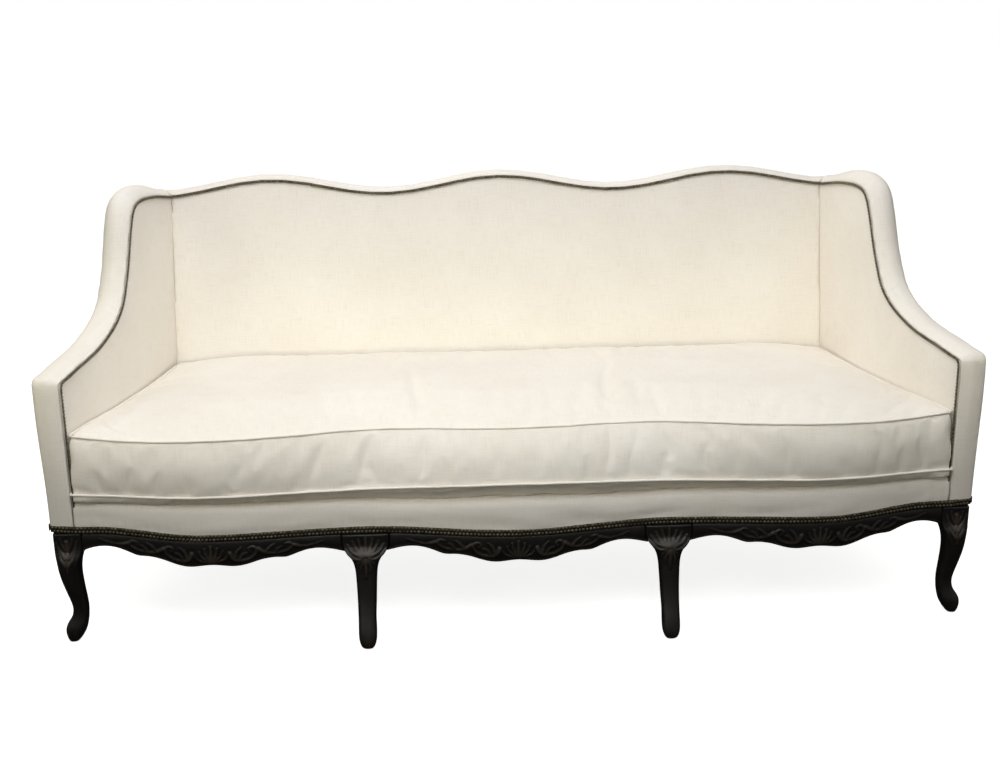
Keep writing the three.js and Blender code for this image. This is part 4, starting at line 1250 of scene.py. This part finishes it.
    def _doubled(self, row: tuple[np.ndarray, np.ndarray]) -> list[tuple[np.ndarray, np.ndarray]]:
        """Turns one row into two staggered rows, above and below it."""
        places, facing = row
        middle = (places[:-1] + places[1:]) / 2
        lift = np.array((0.0, 0.0, self.base_rows))
        return [(places + lift, facing), (middle - lift, facing[:-1])]

    def _row(self, name: str, rows: list[tuple[np.ndarray, np.ndarray]], radius: float = 0.0) -> None:
        """Drives rows of domed nails as one piece.

        Args:
            name: the piece's name.
            rows: the places and facing directions of each row.
            radius: the heads' radius, or 0 for the single rows' own.
        """
        size = radius or self.radius
        dome = bmesh.new()
        bmesh.ops.create_uvsphere(dome, u_segments=self.head_sides, v_segments=self.head_rings, radius=1.0)
        low = [vert for vert in dome.verts if vert.co.z < -0.1]
        bmesh.ops.delete(dome, geom=low, context="VERTS")
        head = bpy.data.meshes.new("nail_head")
        dome.to_mesh(head)
        dome.free()
        shape = bmesh.new()
        tones = shape.verts.layers.float.new("tone")
        chance = np.random.default_rng(len(name))
        # Heads along the base take the darker tone, which is painted shade.
        usual = self.base_tone if "base" in name else self.tone
        for places, facing in rows:
            for place, way in zip(places, facing):
                count = len(shape.verts)
                shape.from_mesh(head)
                shape.verts.ensure_lookup_table()
                tilt = Vector(way) + Vector(chance.normal(0, self.tilt, 3))
                turn = tilt.to_track_quat("Z", "Y").to_matrix().to_4x4()
                wide = size * (1 + chance.normal(0, self.uneven))
                scale = Matrix.Diagonal((wide, wide, self.rise, 1.0))
                matrix = Matrix.Translation(Vector(place)) @ turn @ scale
                tone = float(np.clip(chance.normal(usual, self.tone_spread), 0, 0.6))
                for vert in shape.verts[count:]:
                    vert[tones] = tone + max(0.0, vert.co.z) * self.crown_tone
                    vert.co = matrix @ vert.co
        bpy.data.meshes.remove(head)
        self.shop.hand_over(linked(name, shape), Slot.NAIL_BRONZE, FRAME_BODY, [])


# Carved base


@dataclass(frozen=True)
class Stroke:
    """One raised stroke of carving: a bent line with a width and a height, thinner towards its tip."""

    bends: tuple[tuple[float, float], ...]
    width: float = 0.005
    height: float = 0.0026
    taper: float = 0.5

    def line(self, mirror: int) -> np.ndarray:
        """The stroke's line as close points, turned over for the other half."""
        corners = np.array(self.bends) * np.array([mirror, 1.0])
        return resampled(rounded(corners, 3), 36)


# Carving of an apron, from the middle of its bay, and below the wood's top line
PALMETTE = (
    Stroke(((0.0, -0.050), (0.0, -0.012)), 0.0052, 0.0034),
    Stroke(((0.003, -0.050), (0.013, -0.030), (0.015, -0.016)), 0.0048, 0.0032),
    Stroke(((0.005, -0.050), (0.022, -0.038), (0.027, -0.024)), 0.0046, 0.0030),
    Stroke(((0.006, -0.052), (0.030, -0.047), (0.038, -0.036)), 0.0044, 0.0028),
)
APRON_SCROLLS = (
    Stroke(((0.044, -0.030), (0.052, -0.048), (0.078, -0.050), (0.100, -0.040), (0.108, -0.024),
            (0.098, -0.014), (0.086, -0.020), (0.092, -0.028)), 0.0055, 0.0030),
    Stroke(((0.056, -0.040), (0.060, -0.026), (0.072, -0.016)), 0.0050, 0.0024),
    Stroke(((0.066, -0.044), (0.074, -0.032), (0.086, -0.030)), 0.0046, 0.0022),
    Stroke(((0.110, -0.022), (0.128, -0.034), (0.156, -0.036), (0.180, -0.030), (0.192, -0.018),
            (0.182, -0.010), (0.172, -0.015)), 0.0048, 0.0026),
    Stroke(((0.128, -0.030), (0.138, -0.018), (0.150, -0.012)), 0.0044, 0.0022),
    Stroke(((0.150, -0.032), (0.158, -0.022), (0.166, -0.020)), 0.0040, 0.0020),
    Stroke(((0.194, -0.018), (0.214, -0.024), (0.240, -0.020), (0.262, -0.012)), 0.0042, 0.0022),
)
# Carving of a leg's top, from its middle, and below its top
LEG_SHELL = (
    Stroke(((0.0, -0.046), (0.0, -0.008)), 0.0056, 0.0034),
    Stroke(((0.004, -0.046), (0.014, -0.026), (0.017, -0.010)), 0.0052, 0.0032),
    Stroke(((0.006, -0.047), (0.026, -0.030), (0.031, -0.015)), 0.0050, 0.0030),
    Stroke(((0.008, -0.049), (0.034, -0.038), (0.043, -0.024)), 0.0048, 0.0028),
    Stroke(((0.008, -0.052), (0.022, -0.056), (0.040, -0.046), (0.049, -0.034)), 0.0040, 0.0024),
)
LEG_HUSK = (
    Stroke(((0.0, -0.056), (0.0, -0.098)), 0.0056, 0.0026),
    Stroke(((0.004, -0.058), (0.012, -0.070), (0.011, -0.086)), 0.0044, 0.0022),
    Stroke(((0.006, -0.056), (0.018, -0.062), (0.021, -0.076)), 0.0036, 0.0018),
)
KNEE_LEAF = (
    Stroke(((0.0, -0.020), (0.0, -0.090)), 0.0060, 0.0030),
    Stroke(((0.004, -0.072), (0.016, -0.056), (0.020, -0.038)), 0.0052, 0.0028),
    Stroke(((0.004, -0.056), (0.018, -0.040), (0.024, -0.020)), 0.0050, 0.0028),
    Stroke(((0.004, -0.040), (0.012, -0.024), (0.014, -0.010)), 0.0046, 0.0026),
)


@dataclass
class CarvedBase:
    """The dark base: aprons with scrolls and a beaded edge, cabriole legs, and the plain wood behind."""

    shop: Workshop
    voxel: float = 0.0023
    bead_width: float = 0.0070
    bead_height: float = 0.0020
    face_tone: float = 0.46
    ridge_tone: float = 0.5
    hollow_tone: float = 0.28
    worn_tone: float = 0.16
    worn_foot: tuple[float, float] = (0.012, 0.06)
    tip_drop: float = 0.35
    hollow_spread: float = 1.9
    bead_foot: float = 0.0055
    hollow_depth: float = 0.0009
    full_height: float = 0.0034
    joint_overlap: float = 0.0015
    joint_reach: float = 0.014
    joint_run: float = 0.030
    eased_width: float = 0.003
    edge_bins: int = 180
    flank_foot: float = 0.17
    flank_step: float = 0.004

    def build(self) -> None:
        """Carves the front and finishes the wood behind it."""
        flanks = []
        for side in Side:
            centre_x, end_x = side.value * CENTRE_LEG_X, side.value * (END_LEG_X + 0.002)
            flanks.append(self.leg(f"front_leg_centre_{side.suffix}", centre_x, LEG_SHELL + LEG_HUSK))
            flanks.append(self.leg(f"front_leg_{side.suffix}", end_x, KNEE_LEAF))
        bays = {"front_apron_centre": 0.0}
        for side in Side:
            bays[f"front_apron_{side.suffix}"] = side.value * BAY_CENTRE_X
        for name, middle in bays.items():
            self.apron(name, middle, flanks)
        for side in Side:
            for plain in ("rear_post", "rear_leg_centre", "side_apron"):
                self.plain(f"{plain}_{side.suffix}")

    def _rounded_copy(self, name: str, levels: int) -> bpy.types.Object:
        """A finely meshed copy of a solid, with its broad facets rounded away."""
        piece = merged_copy(self.shop.nodes[name], name + "_carved", math.radians(50))
        subdivide(piece, levels)
        remesh(piece, self.voxel, 3)
        return piece

    def _carve(
        self, piece: bpy.types.Object, where: np.ndarray, strokes: Sequence[Stroke], extra: np.ndarray
    ) -> None:
        """Raises strokes on the front of a piece and keeps how high each point is for the finish.

        Args:
            piece: the finely meshed piece.
            where: each point's place from the carving's middle and below its top.
            strokes: the carving, for one half.
            extra: a rise that is already there, for each point.
        """
        facing = normals_of(piece.data)
        points = points_of(piece.data)
        front = smoothstep(-facing[:, 1], 0.05, 0.5)
        rise, sunk = extra.copy(), np.zeros(len(points))
        for stroke in strokes:
            for mirror in (1, -1):
                line = stroke.line(mirror)
                near = np.full(len(points), np.inf)
                share = np.zeros(len(points))
                for index, place in enumerate(line):
                    apart = ((where - place) ** 2).sum(axis=1)
                    share = np.where(apart < near, index / (len(line) - 1), share)
                    near = np.minimum(near, apart)
                width = stroke.width * (1 - stroke.taper * share)
                round_off = np.sqrt(np.clip(1 - near / width**2, 0, 1))
                rise = np.maximum(rise, stroke.height * (1 - self.tip_drop * share) * round_off)
                sunk = np.maximum(sunk, np.exp(-near / (width * self.hollow_spread) ** 2))
        lowered = -self.hollow_depth * sunk * (rise < 0.0004)
        set_points(piece.data, points + facing * ((rise + lowered) * front)[:, None])
        height = rise / self.full_height
        dark = self.hollow_tone * sunk * (1 - np.clip(height * 1.5, 0, 1))
        tone = self.face_tone + front * (self.ridge_tone * height - dark)
        worn = self.worn_tone * (1 - smoothstep(points[:, 2], *self.worn_foot))
        set_attribute(piece.data, "relief", tone + worn)

    def _meet(self, points: np.ndarray, flanks: Sequence[np.ndarray]) -> np.ndarray:
        """Draws an apron's ends out to the legs beside it.

        Args:
            points: the apron's points.
            flanks: for each leg, rows of height, left flank and right flank.

        Returns:
            The moved points.
        """
        moved = points.copy()
        for sign in (-1, 1):
            end = sign * float((sign * points[:, 0]).max())
            sides = [np.interp(points[:, 2], leg[:, 0], leg[:, 1 if sign > 0 else 2]) for leg in flanks]
            near = min(sides, key=lambda flank: abs(float(flank.mean()) - end))
            gap = np.clip(sign * (near - end) + self.joint_overlap, 0, self.joint_reach)
            near_end = smoothstep(sign * points[:, 0], sign * end - self.joint_run, sign * end)
            moved[:, 0] += sign * gap * near_end
        return moved

    def apron(self, name: str, middle: float, flanks: Sequence[np.ndarray]) -> None:
        """Carves one apron: its palmette and scrolls, and the bead that follows its lower edge.

        Args:
            name: the apron's node.
            middle: where its bay's middle stands across the front.
            flanks: the flanks of the legs.
        """
        piece = self._rounded_copy(name, 2)
        set_points(piece.data, self._meet(points_of(piece.data), flanks))
        points = points_of(piece.data)
        edges = np.linspace(points[:, 0].min(), points[:, 0].max(), self.edge_bins)
        bins = np.clip(np.digitize(points[:, 0], edges) - 1, 0, len(edges) - 2)
        lowest = np.full(len(edges) - 1, np.inf)
        np.minimum.at(lowest, bins, points[:, 2])
        centres = (edges[:-1] + edges[1:]) / 2
        kept = np.isfinite(lowest)
        low = np.interp(points[:, 0], centres[kept], lowest[kept])
        slope = np.interp(points[:, 0], centres[kept], np.gradient(lowest[kept], centres[kept]))
        above = (points[:, 2] - low) / np.sqrt(1 + slope**2)
        aside = (above - self.bead_foot) / (self.bead_width / 2)
        bead = np.sqrt(np.clip(1 - aside**2, 0, 1)) * self.bead_height
        where = np.column_stack([points[:, 0] - middle, points[:, 2] - WOOD_TOP.at(points[:, 0])])
        self._carve(piece, where, PALMETTE + APRON_SCROLLS, bead)
        self.shop.hand_over(piece, Slot.CARVED_WOOD, FRAME_BODY, [name])

    def leg(self, name: str, middle: float, strokes: Sequence[Stroke]) -> np.ndarray:
        """Carves the top of one leg and leaves its shaft and foot smooth.

        Args:
            name: the leg's node.
            middle: where its middle stands across the front.
            strokes: its carving.

        Returns:
            Rows of height, left flank and right flank.
        """
        piece = self._rounded_copy(name, 2)
        points = points_of(piece.data)
        top = float(points[:, 2].max())
        where = np.column_stack([points[:, 0] - middle, points[:, 2] - top])
        self._carve(piece, where, strokes, np.zeros(len(points)))
        self.shop.hand_over(piece, Slot.CARVED_WOOD, FRAME_BODY, [name])
        levels = np.arange(self.flank_foot, top - self.flank_step, self.flank_step)
        bands = [points[np.abs(points[:, 2] - level) < 0.003, 0] for level in levels]
        return np.array([(level, band.min(), band.max()) for level, band in zip(levels, bands)])

    def plain(self, name: str) -> None:
        """Eases the edges of one plain member of the base."""
        piece = merged_copy(self.shop.nodes[name], name + "_eased")
        add_modifier(piece, "BEVEL", width=self.eased_width, segments=3, limit_method="ANGLE",
                     angle_limit=math.radians(30))
        apply_modifiers(piece)
        set_attribute(piece.data, "relief", np.full(len(piece.data.vertices), self.face_tone))
        self.shop.hand_over(piece, Slot.CARVED_WOOD, FRAME_BODY, [name])


# Seat cushion


# The rings of the unfilled cover, from below: how far the underside's are drawn in
UNDERSIDE_INSETS = (0.060, 0.034, 0.020, 0.011, 0.004)
# How far the belly's rings stand out, and how far each has come down to the deck, from 0 to 1
BELLY_RINGS = ((0.002, 0.82), (0.006, 0.5), (0.005, 0.22))
# The box's rings, as shares of its height, and the crown's, as shares of its reach inwards and its rise
BOX_SHARES = (0.12, 0.3, 0.5, 0.7, 0.88)
CROWN_SHARES = ((0.06, 0.20), (0.2, 0.52), (0.5, 0.85), (1.0, 1.0))
# The cushion's front corner, in shares of its size in from the side and back from the front
CORNER_BENDS = ((0.45, 0.02), (0.12, 0.12), (0.02, 0.45), (0.0, 1.0))


@dataclass
class SeatCushion:
    """The loose boxed cushion: a soft cover with two welts, its foam, and a zip along the back."""

    shop: Workshop
    bottom: float = 0.3695
    rest_gap: float = 0.0022
    top: float = 0.502
    fall: float = 0.020
    corner_dip: float = 0.011
    crown: float = 0.020
    crown_reach: float = 0.210
    side_clearance: float = 0.003
    back_clearance: float = 0.004
    corner: float = 0.011
    middle_y: float = 0.34
    half_depth: float = 0.36
    dip_across: tuple[float, float] = (0.74, 1.0)
    dip_along: tuple[float, float] = (0.08, 0.50)
    front_run: tuple[float, float] = (0.05, 0.30)
    nail_clearance: float = 0.0045
    nail_zone: tuple[float, float] = (0.018, 0.034)
    held_gap: float = 0.0015
    seam_inset: float = 0.004
    points: int = 480
    voxel: float = 0.0092
    pressure: float = 4.0
    growth: float = 0.012
    cap: float = 0.024
    settle_depth: float = 0.020
    frames: int = 20
    foam_voxel: float = 0.012
    zip_half: float = 0.0085
    zip_groove: float = 0.006
    welt_radius: float = 0.0029
    welt_wander: float = 0.0005
    tooth: tuple[float, float, float] = (0.0016, 0.0012, 0.0034)
    tooth_pitch: float = 0.0026
    tooth_stagger: float = 0.0006
    tooth_proud: float = 0.0002
    zip_end: float = 0.004
    slider_edge: float = 0.0008

    def build(self) -> None:
        """Builds the cushion from its cover to its zip."""
        self.cover()
        self.foam()
        self.welts()
        self.zip()

    def outline(self, height: float, inset: float) -> np.ndarray:
        """The cushion's outline at a share of its height, drawn in by a distance, as rows of X and Y.

        Args:
            height: 0 at the lower seam and 1 at the upper.
            inset: how far the outline is drawn in.

        Returns:
            Evenly spaced points, once round from the front's left end.
        """
        z = self.bottom + height * (self.top - self.fall - self.bottom)
        rear = float(back_face_y(z)) - self.back_clearance - inset

        def front(x: np.ndarray) -> np.ndarray:
            """The front edge's depth at places across."""
            return (RAIL_FRONT.at(x) - LOWER_OVERHANG) * (1 - height) + read_line(UPPER_EDGE, x) * height

        def side(y: float) -> float:
            """The side edge's reach at a depth."""
            return float(arm_face_x(y)) - self.side_clearance / math.cos(ARM_SPLAY) - inset

        end_y = float(front(np.array([ARM_FRONT_X]))[0]) + inset
        run = side(end_y) - self.corner
        xs = np.linspace(-run, run, 201)
        face = np.column_stack([xs, front(xs) + inset])
        corner = [(side(end_y) - self.corner * inward, end_y + self.corner * rearward)
                  for inward, rearward in CORNER_BENDS]
        rear_x = side(rear)
        far = [(rear_x, rear - self.corner), (rear_x - self.corner * 0.15, rear - self.corner * 0.15),
               (rear_x - self.corner, rear), (rear_x / 2, rear), (0.0, rear)]
        right = np.array([*corner, (side(0.3), 0.3), *far])
        left = right[:-1][::-1] * np.array([-1, 1])
        ring = np.vstack([face, right, left, face[:1]])
        return resampled(ring, self.points + 1)[:-1]

    def _fall_at(self, y: np.ndarray) -> np.ndarray:
        """How far the top has fallen at lengths behind the arms' fronts."""
        return self.fall * np.clip(y / (float(back_face_y(self.top)) - self.back_clearance), 0, 1)

    def _ring(self, height: float, inset: float, z: float, rest: float = 0.0) -> np.ndarray:
        """One ring of the cushion in the sofa's frame.

        Args:
            height: 0 at the lower seam and 1 at the upper.
            inset: how far the ring is drawn in.
            z: its level at the front.
            rest: how far it has come down from there to the deck, from 0 to 1.

        Returns:
            The ring's points, one row each.
        """
        flat = self.outline(height, 0.0)
        middle = np.array([0.0, self.middle_y])
        drawn = middle + (flat - middle) * (1 - inset / np.array([ARM_FRONT_X, self.half_depth]))
        x, y = drawn.T
        rise = read_line(SEAM_RISE, x) * (1 - height) + read_line(TOP_RISE, x) * height
        beside = smoothstep(np.abs(x) / arm_face_x(y), *self.dip_across)
        dip = self.corner_dip * beside * smoothstep(y, *self.dip_along)
        level = z + rise * (1 - smoothstep(y, *self.front_run)) - height * (self._fall_at(y) + dip)
        level += (deck_height(x, y) + self.rest_gap - level) * rest
        return np.column_stack([x, y + ARM_FRONT_Y, level])

    def _start_shape(self) -> bpy.types.Object:
        """The cover before it is filled: rings drawn up from the underside to the crown."""
        rise = self.top - self.bottom
        rows = [(0.0, inset, self.bottom, 1.0) for inset in (0.5 * self.crown_reach, *UNDERSIDE_INSETS)]
        rows += [(0.0, -out, self.bottom, rest) for out, rest in BELLY_RINGS]
        rows += [(0.0, self.seam_inset - 0.002, self.bottom)]
        rows += [(share, -0.002, self.bottom + rise * share) for share in BOX_SHARES]
        rows += [(1.0, self.seam_inset, self.top)]
        rows += [(1.0, self.seam_inset + reach * self.crown_reach, self.top + up * self.crown)
                 for reach, up in CROWN_SHARES]
        shape = bmesh.new()
        made = bmesh.ops.create_circle(shape, segments=self.points, radius=1.0, cap_ends=False)
        ring = made["verts"]
        for place, vert in zip(self._ring(*rows[0]), ring):
            vert.co = place
        edges = list({edge for vert in ring for edge in vert.link_edges})
        bmesh.ops.contextual_create(shape, geom=edges)
        for row in rows[1:]:
            grown = bmesh.ops.extrude_edge_only(shape, edges=edges)["geom"]
            fresh = {vert for vert in grown if isinstance(vert, bmesh.types.BMVert)}
            places = self._ring(*row)
            follow = [next(e.other_vert(vert) for e in vert.link_edges if e.other_vert(vert) in fresh)
                      for vert in ring]
            for place, vert in zip(places, follow):
                vert.co = place
            edges = [edge for edge in grown if isinstance(edge, bmesh.types.BMEdge)
                     and all(vert in fresh for vert in edge.verts)]
            ring = follow
        bmesh.ops.contextual_create(shape, geom=edges)
        bmesh.ops.recalc_face_normals(shape, faces=shape.faces)
        return linked("cushion_cover_linen", shape)

    def cover(self) -> None:
        """Fills the cover: the panels swell and pucker between the seams, which stay in place."""
        piece = self._start_shape()
        remesh(piece, self.voxel, 2)
        start = points_of(piece.data)
        seams = (self._ring(0.0, self.seam_inset - 0.002, self.bottom),
                 self._ring(1.0, self.seam_inset, self.top))
        near = np.minimum(*(distance_to(start, seam) for seam in seams))
        self._inflate(piece, near)
        self._hold(piece, start)
        subdivide(piece, 1)
        self._let_in_zip(piece)
        lay_cloth(piece.data)
        self.shop.hand_over(piece, Slot.CUSHION_LINEN, CUSHION_BODY, ["seat_cushion_cover"])

    def _inflate(self, piece: bpy.types.Object, near: np.ndarray) -> None:
        """Runs the cloth under pressure, with its seams pinned.

        Args:
            piece: the evenly meshed cover.
            near: each point's distance from the nearest seam.
        """
        held = piece.vertex_groups.new(name="seams")
        for index in np.nonzero(near < self.voxel * 0.8)[0]:
            held.add([int(index)], 1.0, "REPLACE")
        soft = add_modifier(piece, "CLOTH")
        stuff = {"quality": 5, "mass": 0.4, "use_pressure": True, "uniform_pressure_force": self.pressure,
                 "shrink_min": -self.growth, "vertex_group_mass": "seams", "tension_stiffness": 20,
                 "compression_stiffness": 20, "shear_stiffness": 8, "bending_stiffness": 2.0}
        for key, value in stuff.items():
            setattr(soft.settings, key, value)
        soft.settings.effector_weights.gravity = 0.0
        soft.point_cache.frame_start = 1
        soft.point_cache.frame_end = self.frames
        scene = bpy.context.scene
        for frame in range(1, self.frames + 1):
            scene.frame_set(frame)
        apply_modifiers(piece)
        scene.frame_set(1)

    def _hold(self, piece: bpy.types.Object, start: np.ndarray) -> None:
        """Keeps the filled cover off the arms, the back and the deck, and caps how far it swelled."""
        moved = points_of(piece.data) - start
        far = np.linalg.norm(moved, axis=1)
        points = start + moved * np.minimum(1, self.cap / np.maximum(far, 1e-9))[:, None]
        inner_y = points[:, 1] - ARM_FRONT_Y
        nailed = 1 - smoothstep(inner_y, *self.nail_zone)
        reach = arm_face_x(inner_y) - self.held_gap - nailed * (self.nail_clearance - self.held_gap)
        points[:, 0] = np.clip(points[:, 0], -reach, reach)
        points[:, 1] = np.minimum(points[:, 1], back_face_y(points[:, 2]) + ARM_FRONT_Y - 0.002)
        rest = deck_height(points[:, 0], points[:, 1] - ARM_FRONT_Y) + self.held_gap
        lies = start[:, 2] < deck_height(start[:, 0], start[:, 1] - ARM_FRONT_Y) + 0.006
        over = np.clip((points[:, 2] - rest) / self.settle_depth, 0, 1)
        rail = RAIL_FRONT.at(points[:, 0])
        front = 1 - smoothstep(inner_y, rail + 0.02, rail + 0.05)
        settled = np.where(over < 1, rest + self.settle_depth * over ** (1 + 0.9 * front), points[:, 2])
        points[:, 2] = np.where(lies, rest, np.maximum(settled, rest))
        set_points(piece.data, points)

    def _let_in_zip(self, piece: bpy.types.Object) -> None:
        """Draws the filled cover in behind the zip's tape, so that the zip lies open along the back."""
        low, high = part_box("cushion_zip")
        points = points_of(piece.data)
        above = smoothstep(np.abs(points[:, 2] - (low.z + high.z) / 2), self.zip_half, self.zip_half + 0.010)
        beside = smoothstep(np.abs(points[:, 0]), high.x + 0.003, high.x + 0.015)
        limit = high.y - 0.0008 + np.maximum(above, beside) * self.zip_groove
        points[:, 1] = np.minimum(points[:, 1], limit)
        set_points(piece.data, points)

    def foam(self) -> None:
        """Builds the foam inside the cover."""
        piece = merged_copy(self.shop.nodes["seat_cushion_core"], "cushion_foam")
        remesh(piece, self.foam_voxel, 2)
        self.shop.hand_over(piece, Slot.PADDING, CUSHION_BODY, ["seat_cushion_core"])

    def welts(self) -> None:
        """Sews a covered cord along each seam."""
        rows = {"cushion_welt_top": (1.0, 0.0034, self.top - 0.001),
                "cushion_welt_bottom": (0.0, -0.0022, self.bottom)}
        for name, row in rows.items():
            ring = self._ring(*row)
            aside = [wander(ring, reach, seed) for reach, seed in ((0.05, 1.0), (0.06, 2.0), (0.045, 7.0))]
            ring += np.column_stack(aside) * self.welt_wander
            path = bpy.data.curves.new(name + "_path", "CURVE")
            path.dimensions = "3D"
            path.bevel_depth = self.welt_radius
            path.bevel_resolution = 3
            line = path.splines.new("POLY")
            line.points.add(len(ring) - 1)
            line.points.foreach_set("co", np.column_stack([ring, np.ones(len(ring))]).ravel())
            line.use_cyclic_u = True
            cord = placed(name + "_path", path)
            mesh = evaluated_mesh(cord)
            bpy.data.objects.remove(cord)
            piece = placed(name + "_cord", mesh)
            lay_cloth(piece.data)
            self.shop.hand_over(piece, Slot.CUSHION_LINEN, CUSHION_BODY, [name])

    def zip(self) -> None:
        """Adds the zip's teeth to its tape, and shapes its slider."""
        low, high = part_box("cushion_zip")
        shape = bmesh.new()
        middle = (low.z + high.z) / 2
        face = high.y + self.tooth_proud
        for index in range(int((high.x - low.x - 0.006) / self.tooth_pitch)):
            stagger = self.tooth_stagger if index % 2 else -self.tooth_stagger
            place = Vector((low.x + self.zip_end + index * self.tooth_pitch, face, middle + stagger))
            add_box(shape, self.tooth, place)
        teeth = linked("zip_teeth", shape)
        self.shop.hand_over(teeth, Slot.ZIP_METAL, CUSHION_BODY, [])
        self.shop.dress(["cushion_zip"], Slot.ZIP_TAPE)
        low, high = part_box("zip_slider")
        shape = bmesh.new()
        add_box(shape, tuple(high - low), (low + high) / 2)
        bmesh.ops.bevel(shape, geom=shape.edges[:], offset=self.slider_edge, segments=2, profile=0.5,
                        material=-1, affect="EDGES")
        slider = linked("zip_slider_body", shape)
        self.shop.hand_over(slider, Slot.ZIP_METAL, "zip_slider", ["zip_slider"])


# Studio


@dataclass(frozen=True)
class Lamp:
    """A soft oblong lamp: its power is in watts, and its spread says how widely it shines, in degrees."""

    name: str
    tint: str
    place: tuple[float, float, float]
    target: tuple[float, float, float]
    size: tuple[float, float]
    energy: float
    spread: float = 180.0

    def hang(self) -> None:
        """Adds the lamp, turned to its target."""
        data = bpy.data.lights.new(self.name, "AREA")
        data.shape = "RECTANGLE"
        data.size, data.size_y = self.size
        data.energy = self.energy
        data.spread = math.radians(self.spread)
        data.color = linear(self.tint)[:3]
        lamp = placed(self.name, data)
        towards = Vector(self.target) - Vector(self.place)
        turned = towards.to_track_quat("-Z", "Y").to_matrix().to_4x4()
        lamp.matrix_world = Matrix.Translation(self.place) @ turned
        lamp.visible_camera = False


COOL, WARM, PLAIN = "f2f2f9", "fff8d7", "fffdf9"
LAMPS = (
    Lamp("key", COOL, (-0.35, -1.25, 2.6), (0.0, 0.0, 0.45), (2.2, 2.2), 42.2),
    Lamp("over", COOL, (0.0, 0.5, 2.6), (0.0, -0.1, 0.4), (2.6, 1.2), 11.4),
    Lamp("right", COOL, (2.2, -1.2, 2.4), (0.0, 0.0, 0.5), (1.6, 1.6), 7.6),
    Lamp("front", WARM, (-0.1, -3.6, 1.2), (0.0, -0.3, 0.66), (3.6, 0.2), 0.78, 14.0),
    Lamp("left", WARM, (-2.6, -2.0, 1.9), (0.0, 0.2, 0.75), (1.2, 0.8), 1.55, 50.0),
    Lamp("rear", PLAIN, (-1.2, 3.4, 2.4), (0.0, 0.4, 0.5), (2.4, 1.6), 26.0),
)


@dataclass(frozen=True)
class Studio:
    """A pale floor and backdrop, soft lamps, and the camera at the photograph's place."""

    position: tuple[float, float, float] = (-0.177, -3.5133, 1.640)
    focal_px: float = 1450.0
    width_px: float = 1000.0
    yaw: float = math.radians(2.55)
    pitch: float = math.radians(-17.92)
    roll: float = math.radians(-0.74)
    sensor_mm: float = 36.0
    floor_half: float = 14.0
    floor_drop: float = 0.001
    floor_glow: float = 0.85
    world_strength: float = 0.29

    def build(self) -> None:
        """Builds the camera, the lamps, the floor and the light of the room."""
        self.camera()
        for lamp in LAMPS:
            lamp.hang()
        self.floor()
        self.room()

    def camera(self) -> None:
        """Places the camera with the photograph's lens, height and slight roll."""
        sy, cy = math.sin(self.yaw), math.cos(self.yaw)
        sp, cp = math.sin(self.pitch), math.cos(self.pitch)
        forward = Vector((sy * cp, cy * cp, sp))
        right = Vector((cy, -sy, 0))
        upward = right.cross(forward)
        cr, sr = math.cos(self.roll), math.sin(self.roll)
        across = right * cr + upward * sr
        above = upward * cr - right * sr
        data = bpy.data.cameras.new("photo_camera")
        data.sensor_width = self.sensor_mm
        data.lens = self.focal_px / self.width_px * self.sensor_mm
        turned = Matrix((across, above, -forward)).transposed().to_4x4()
        view = placed("photo_camera", data)
        view.matrix_world = Matrix.Translation(self.position) @ turned
        bpy.context.scene.camera = view

    def floor(self) -> None:
        """Lays a wide pale floor that keeps the sofa's shadow."""
        shape = bmesh.new()
        bmesh.ops.create_grid(shape, x_segments=2, y_segments=2, size=self.floor_half)
        floor = linked("studio_floor", shape)
        floor.data.transform(Matrix.Translation((0, 0, -self.floor_drop)))
        graph = Graph(bpy.data.materials.new("studio_white"))
        seen = graph.add("LightPath").outputs["Is Camera Ray"]
        tone = graph.add("MixRGB", Fac=seen, Color1=linear("484848"), Color2=linear("f4f4f4"))
        matt = graph.add("BsdfDiffuse", Color=tone.outputs[0])
        glow = graph.add("Math", {"operation": "MULTIPLY"}, in0=seen, in1=self.floor_glow)
        bright = graph.add("Emission", Color=linear("ffffff"), Strength=glow.outputs[0])
        both = graph.add("AddShader", in0=matt.outputs[0], in1=bright.outputs[0])
        floor.data.materials.append(graph.close(both))
        floor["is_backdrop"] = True

    def room(self) -> None:
        """Fills the room with an even light, which looks white to the camera."""
        world = bpy.data.worlds.new("studio_room")
        bpy.context.scene.world = world
        graph = Graph(world, "OutputWorld")
        path = graph.add("LightPath")
        shown = graph.add("Math", {"operation": "MAXIMUM"}, in0=path.outputs["Is Camera Ray"],
                          in1=path.outputs["Is Transmission Ray"])
        soft = graph.add("Background", Color=linear("ebe9db"), Strength=self.world_strength)
        white = graph.add("Background", Color=linear("ffffff"))
        graph.close(graph.add("MixShader", Fac=shown.outputs[0], in1=soft.outputs[0], in2=white.outputs[0]))


def corner_lists(bounds: object) -> list:
    """The bounds as plain lists of numbers."""
    if hasattr(bounds, "__len__") and not isinstance(bounds, (str, dict)):
        return [corner_lists(b) if hasattr(b, "__len__") else float(b) for b in bounds]
    return bounds


def main() -> None:
    """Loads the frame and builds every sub-assembly over it."""
    logging.basicConfig(level=logging.INFO, format="%(name)s: %(message)s")
    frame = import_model()
    before = corner_lists(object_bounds())
    bpy.context.scene.view_settings.view_transform = "Standard"
    shop = Workshop(frame, Finishes())
    Upholstery(shop).build()
    SeatDeck(shop).build()
    NailRows(shop).build()
    CarvedBase(shop).build()
    SeatCushion(shop).build()
    shop.dress([name for name in shop.nodes if name.startswith("seat_spring")], Slot.SPRING_STEEL)
    beech = ("rail", "arm_post", "mid_post", "corner_block")
    shop.dress([name for name in shop.nodes if any(word in name for word in beech)], Slot.FRAME_WOOD)
    Studio().build()
    after = corner_lists(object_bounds())


if __name__ == "__main__":
    main()
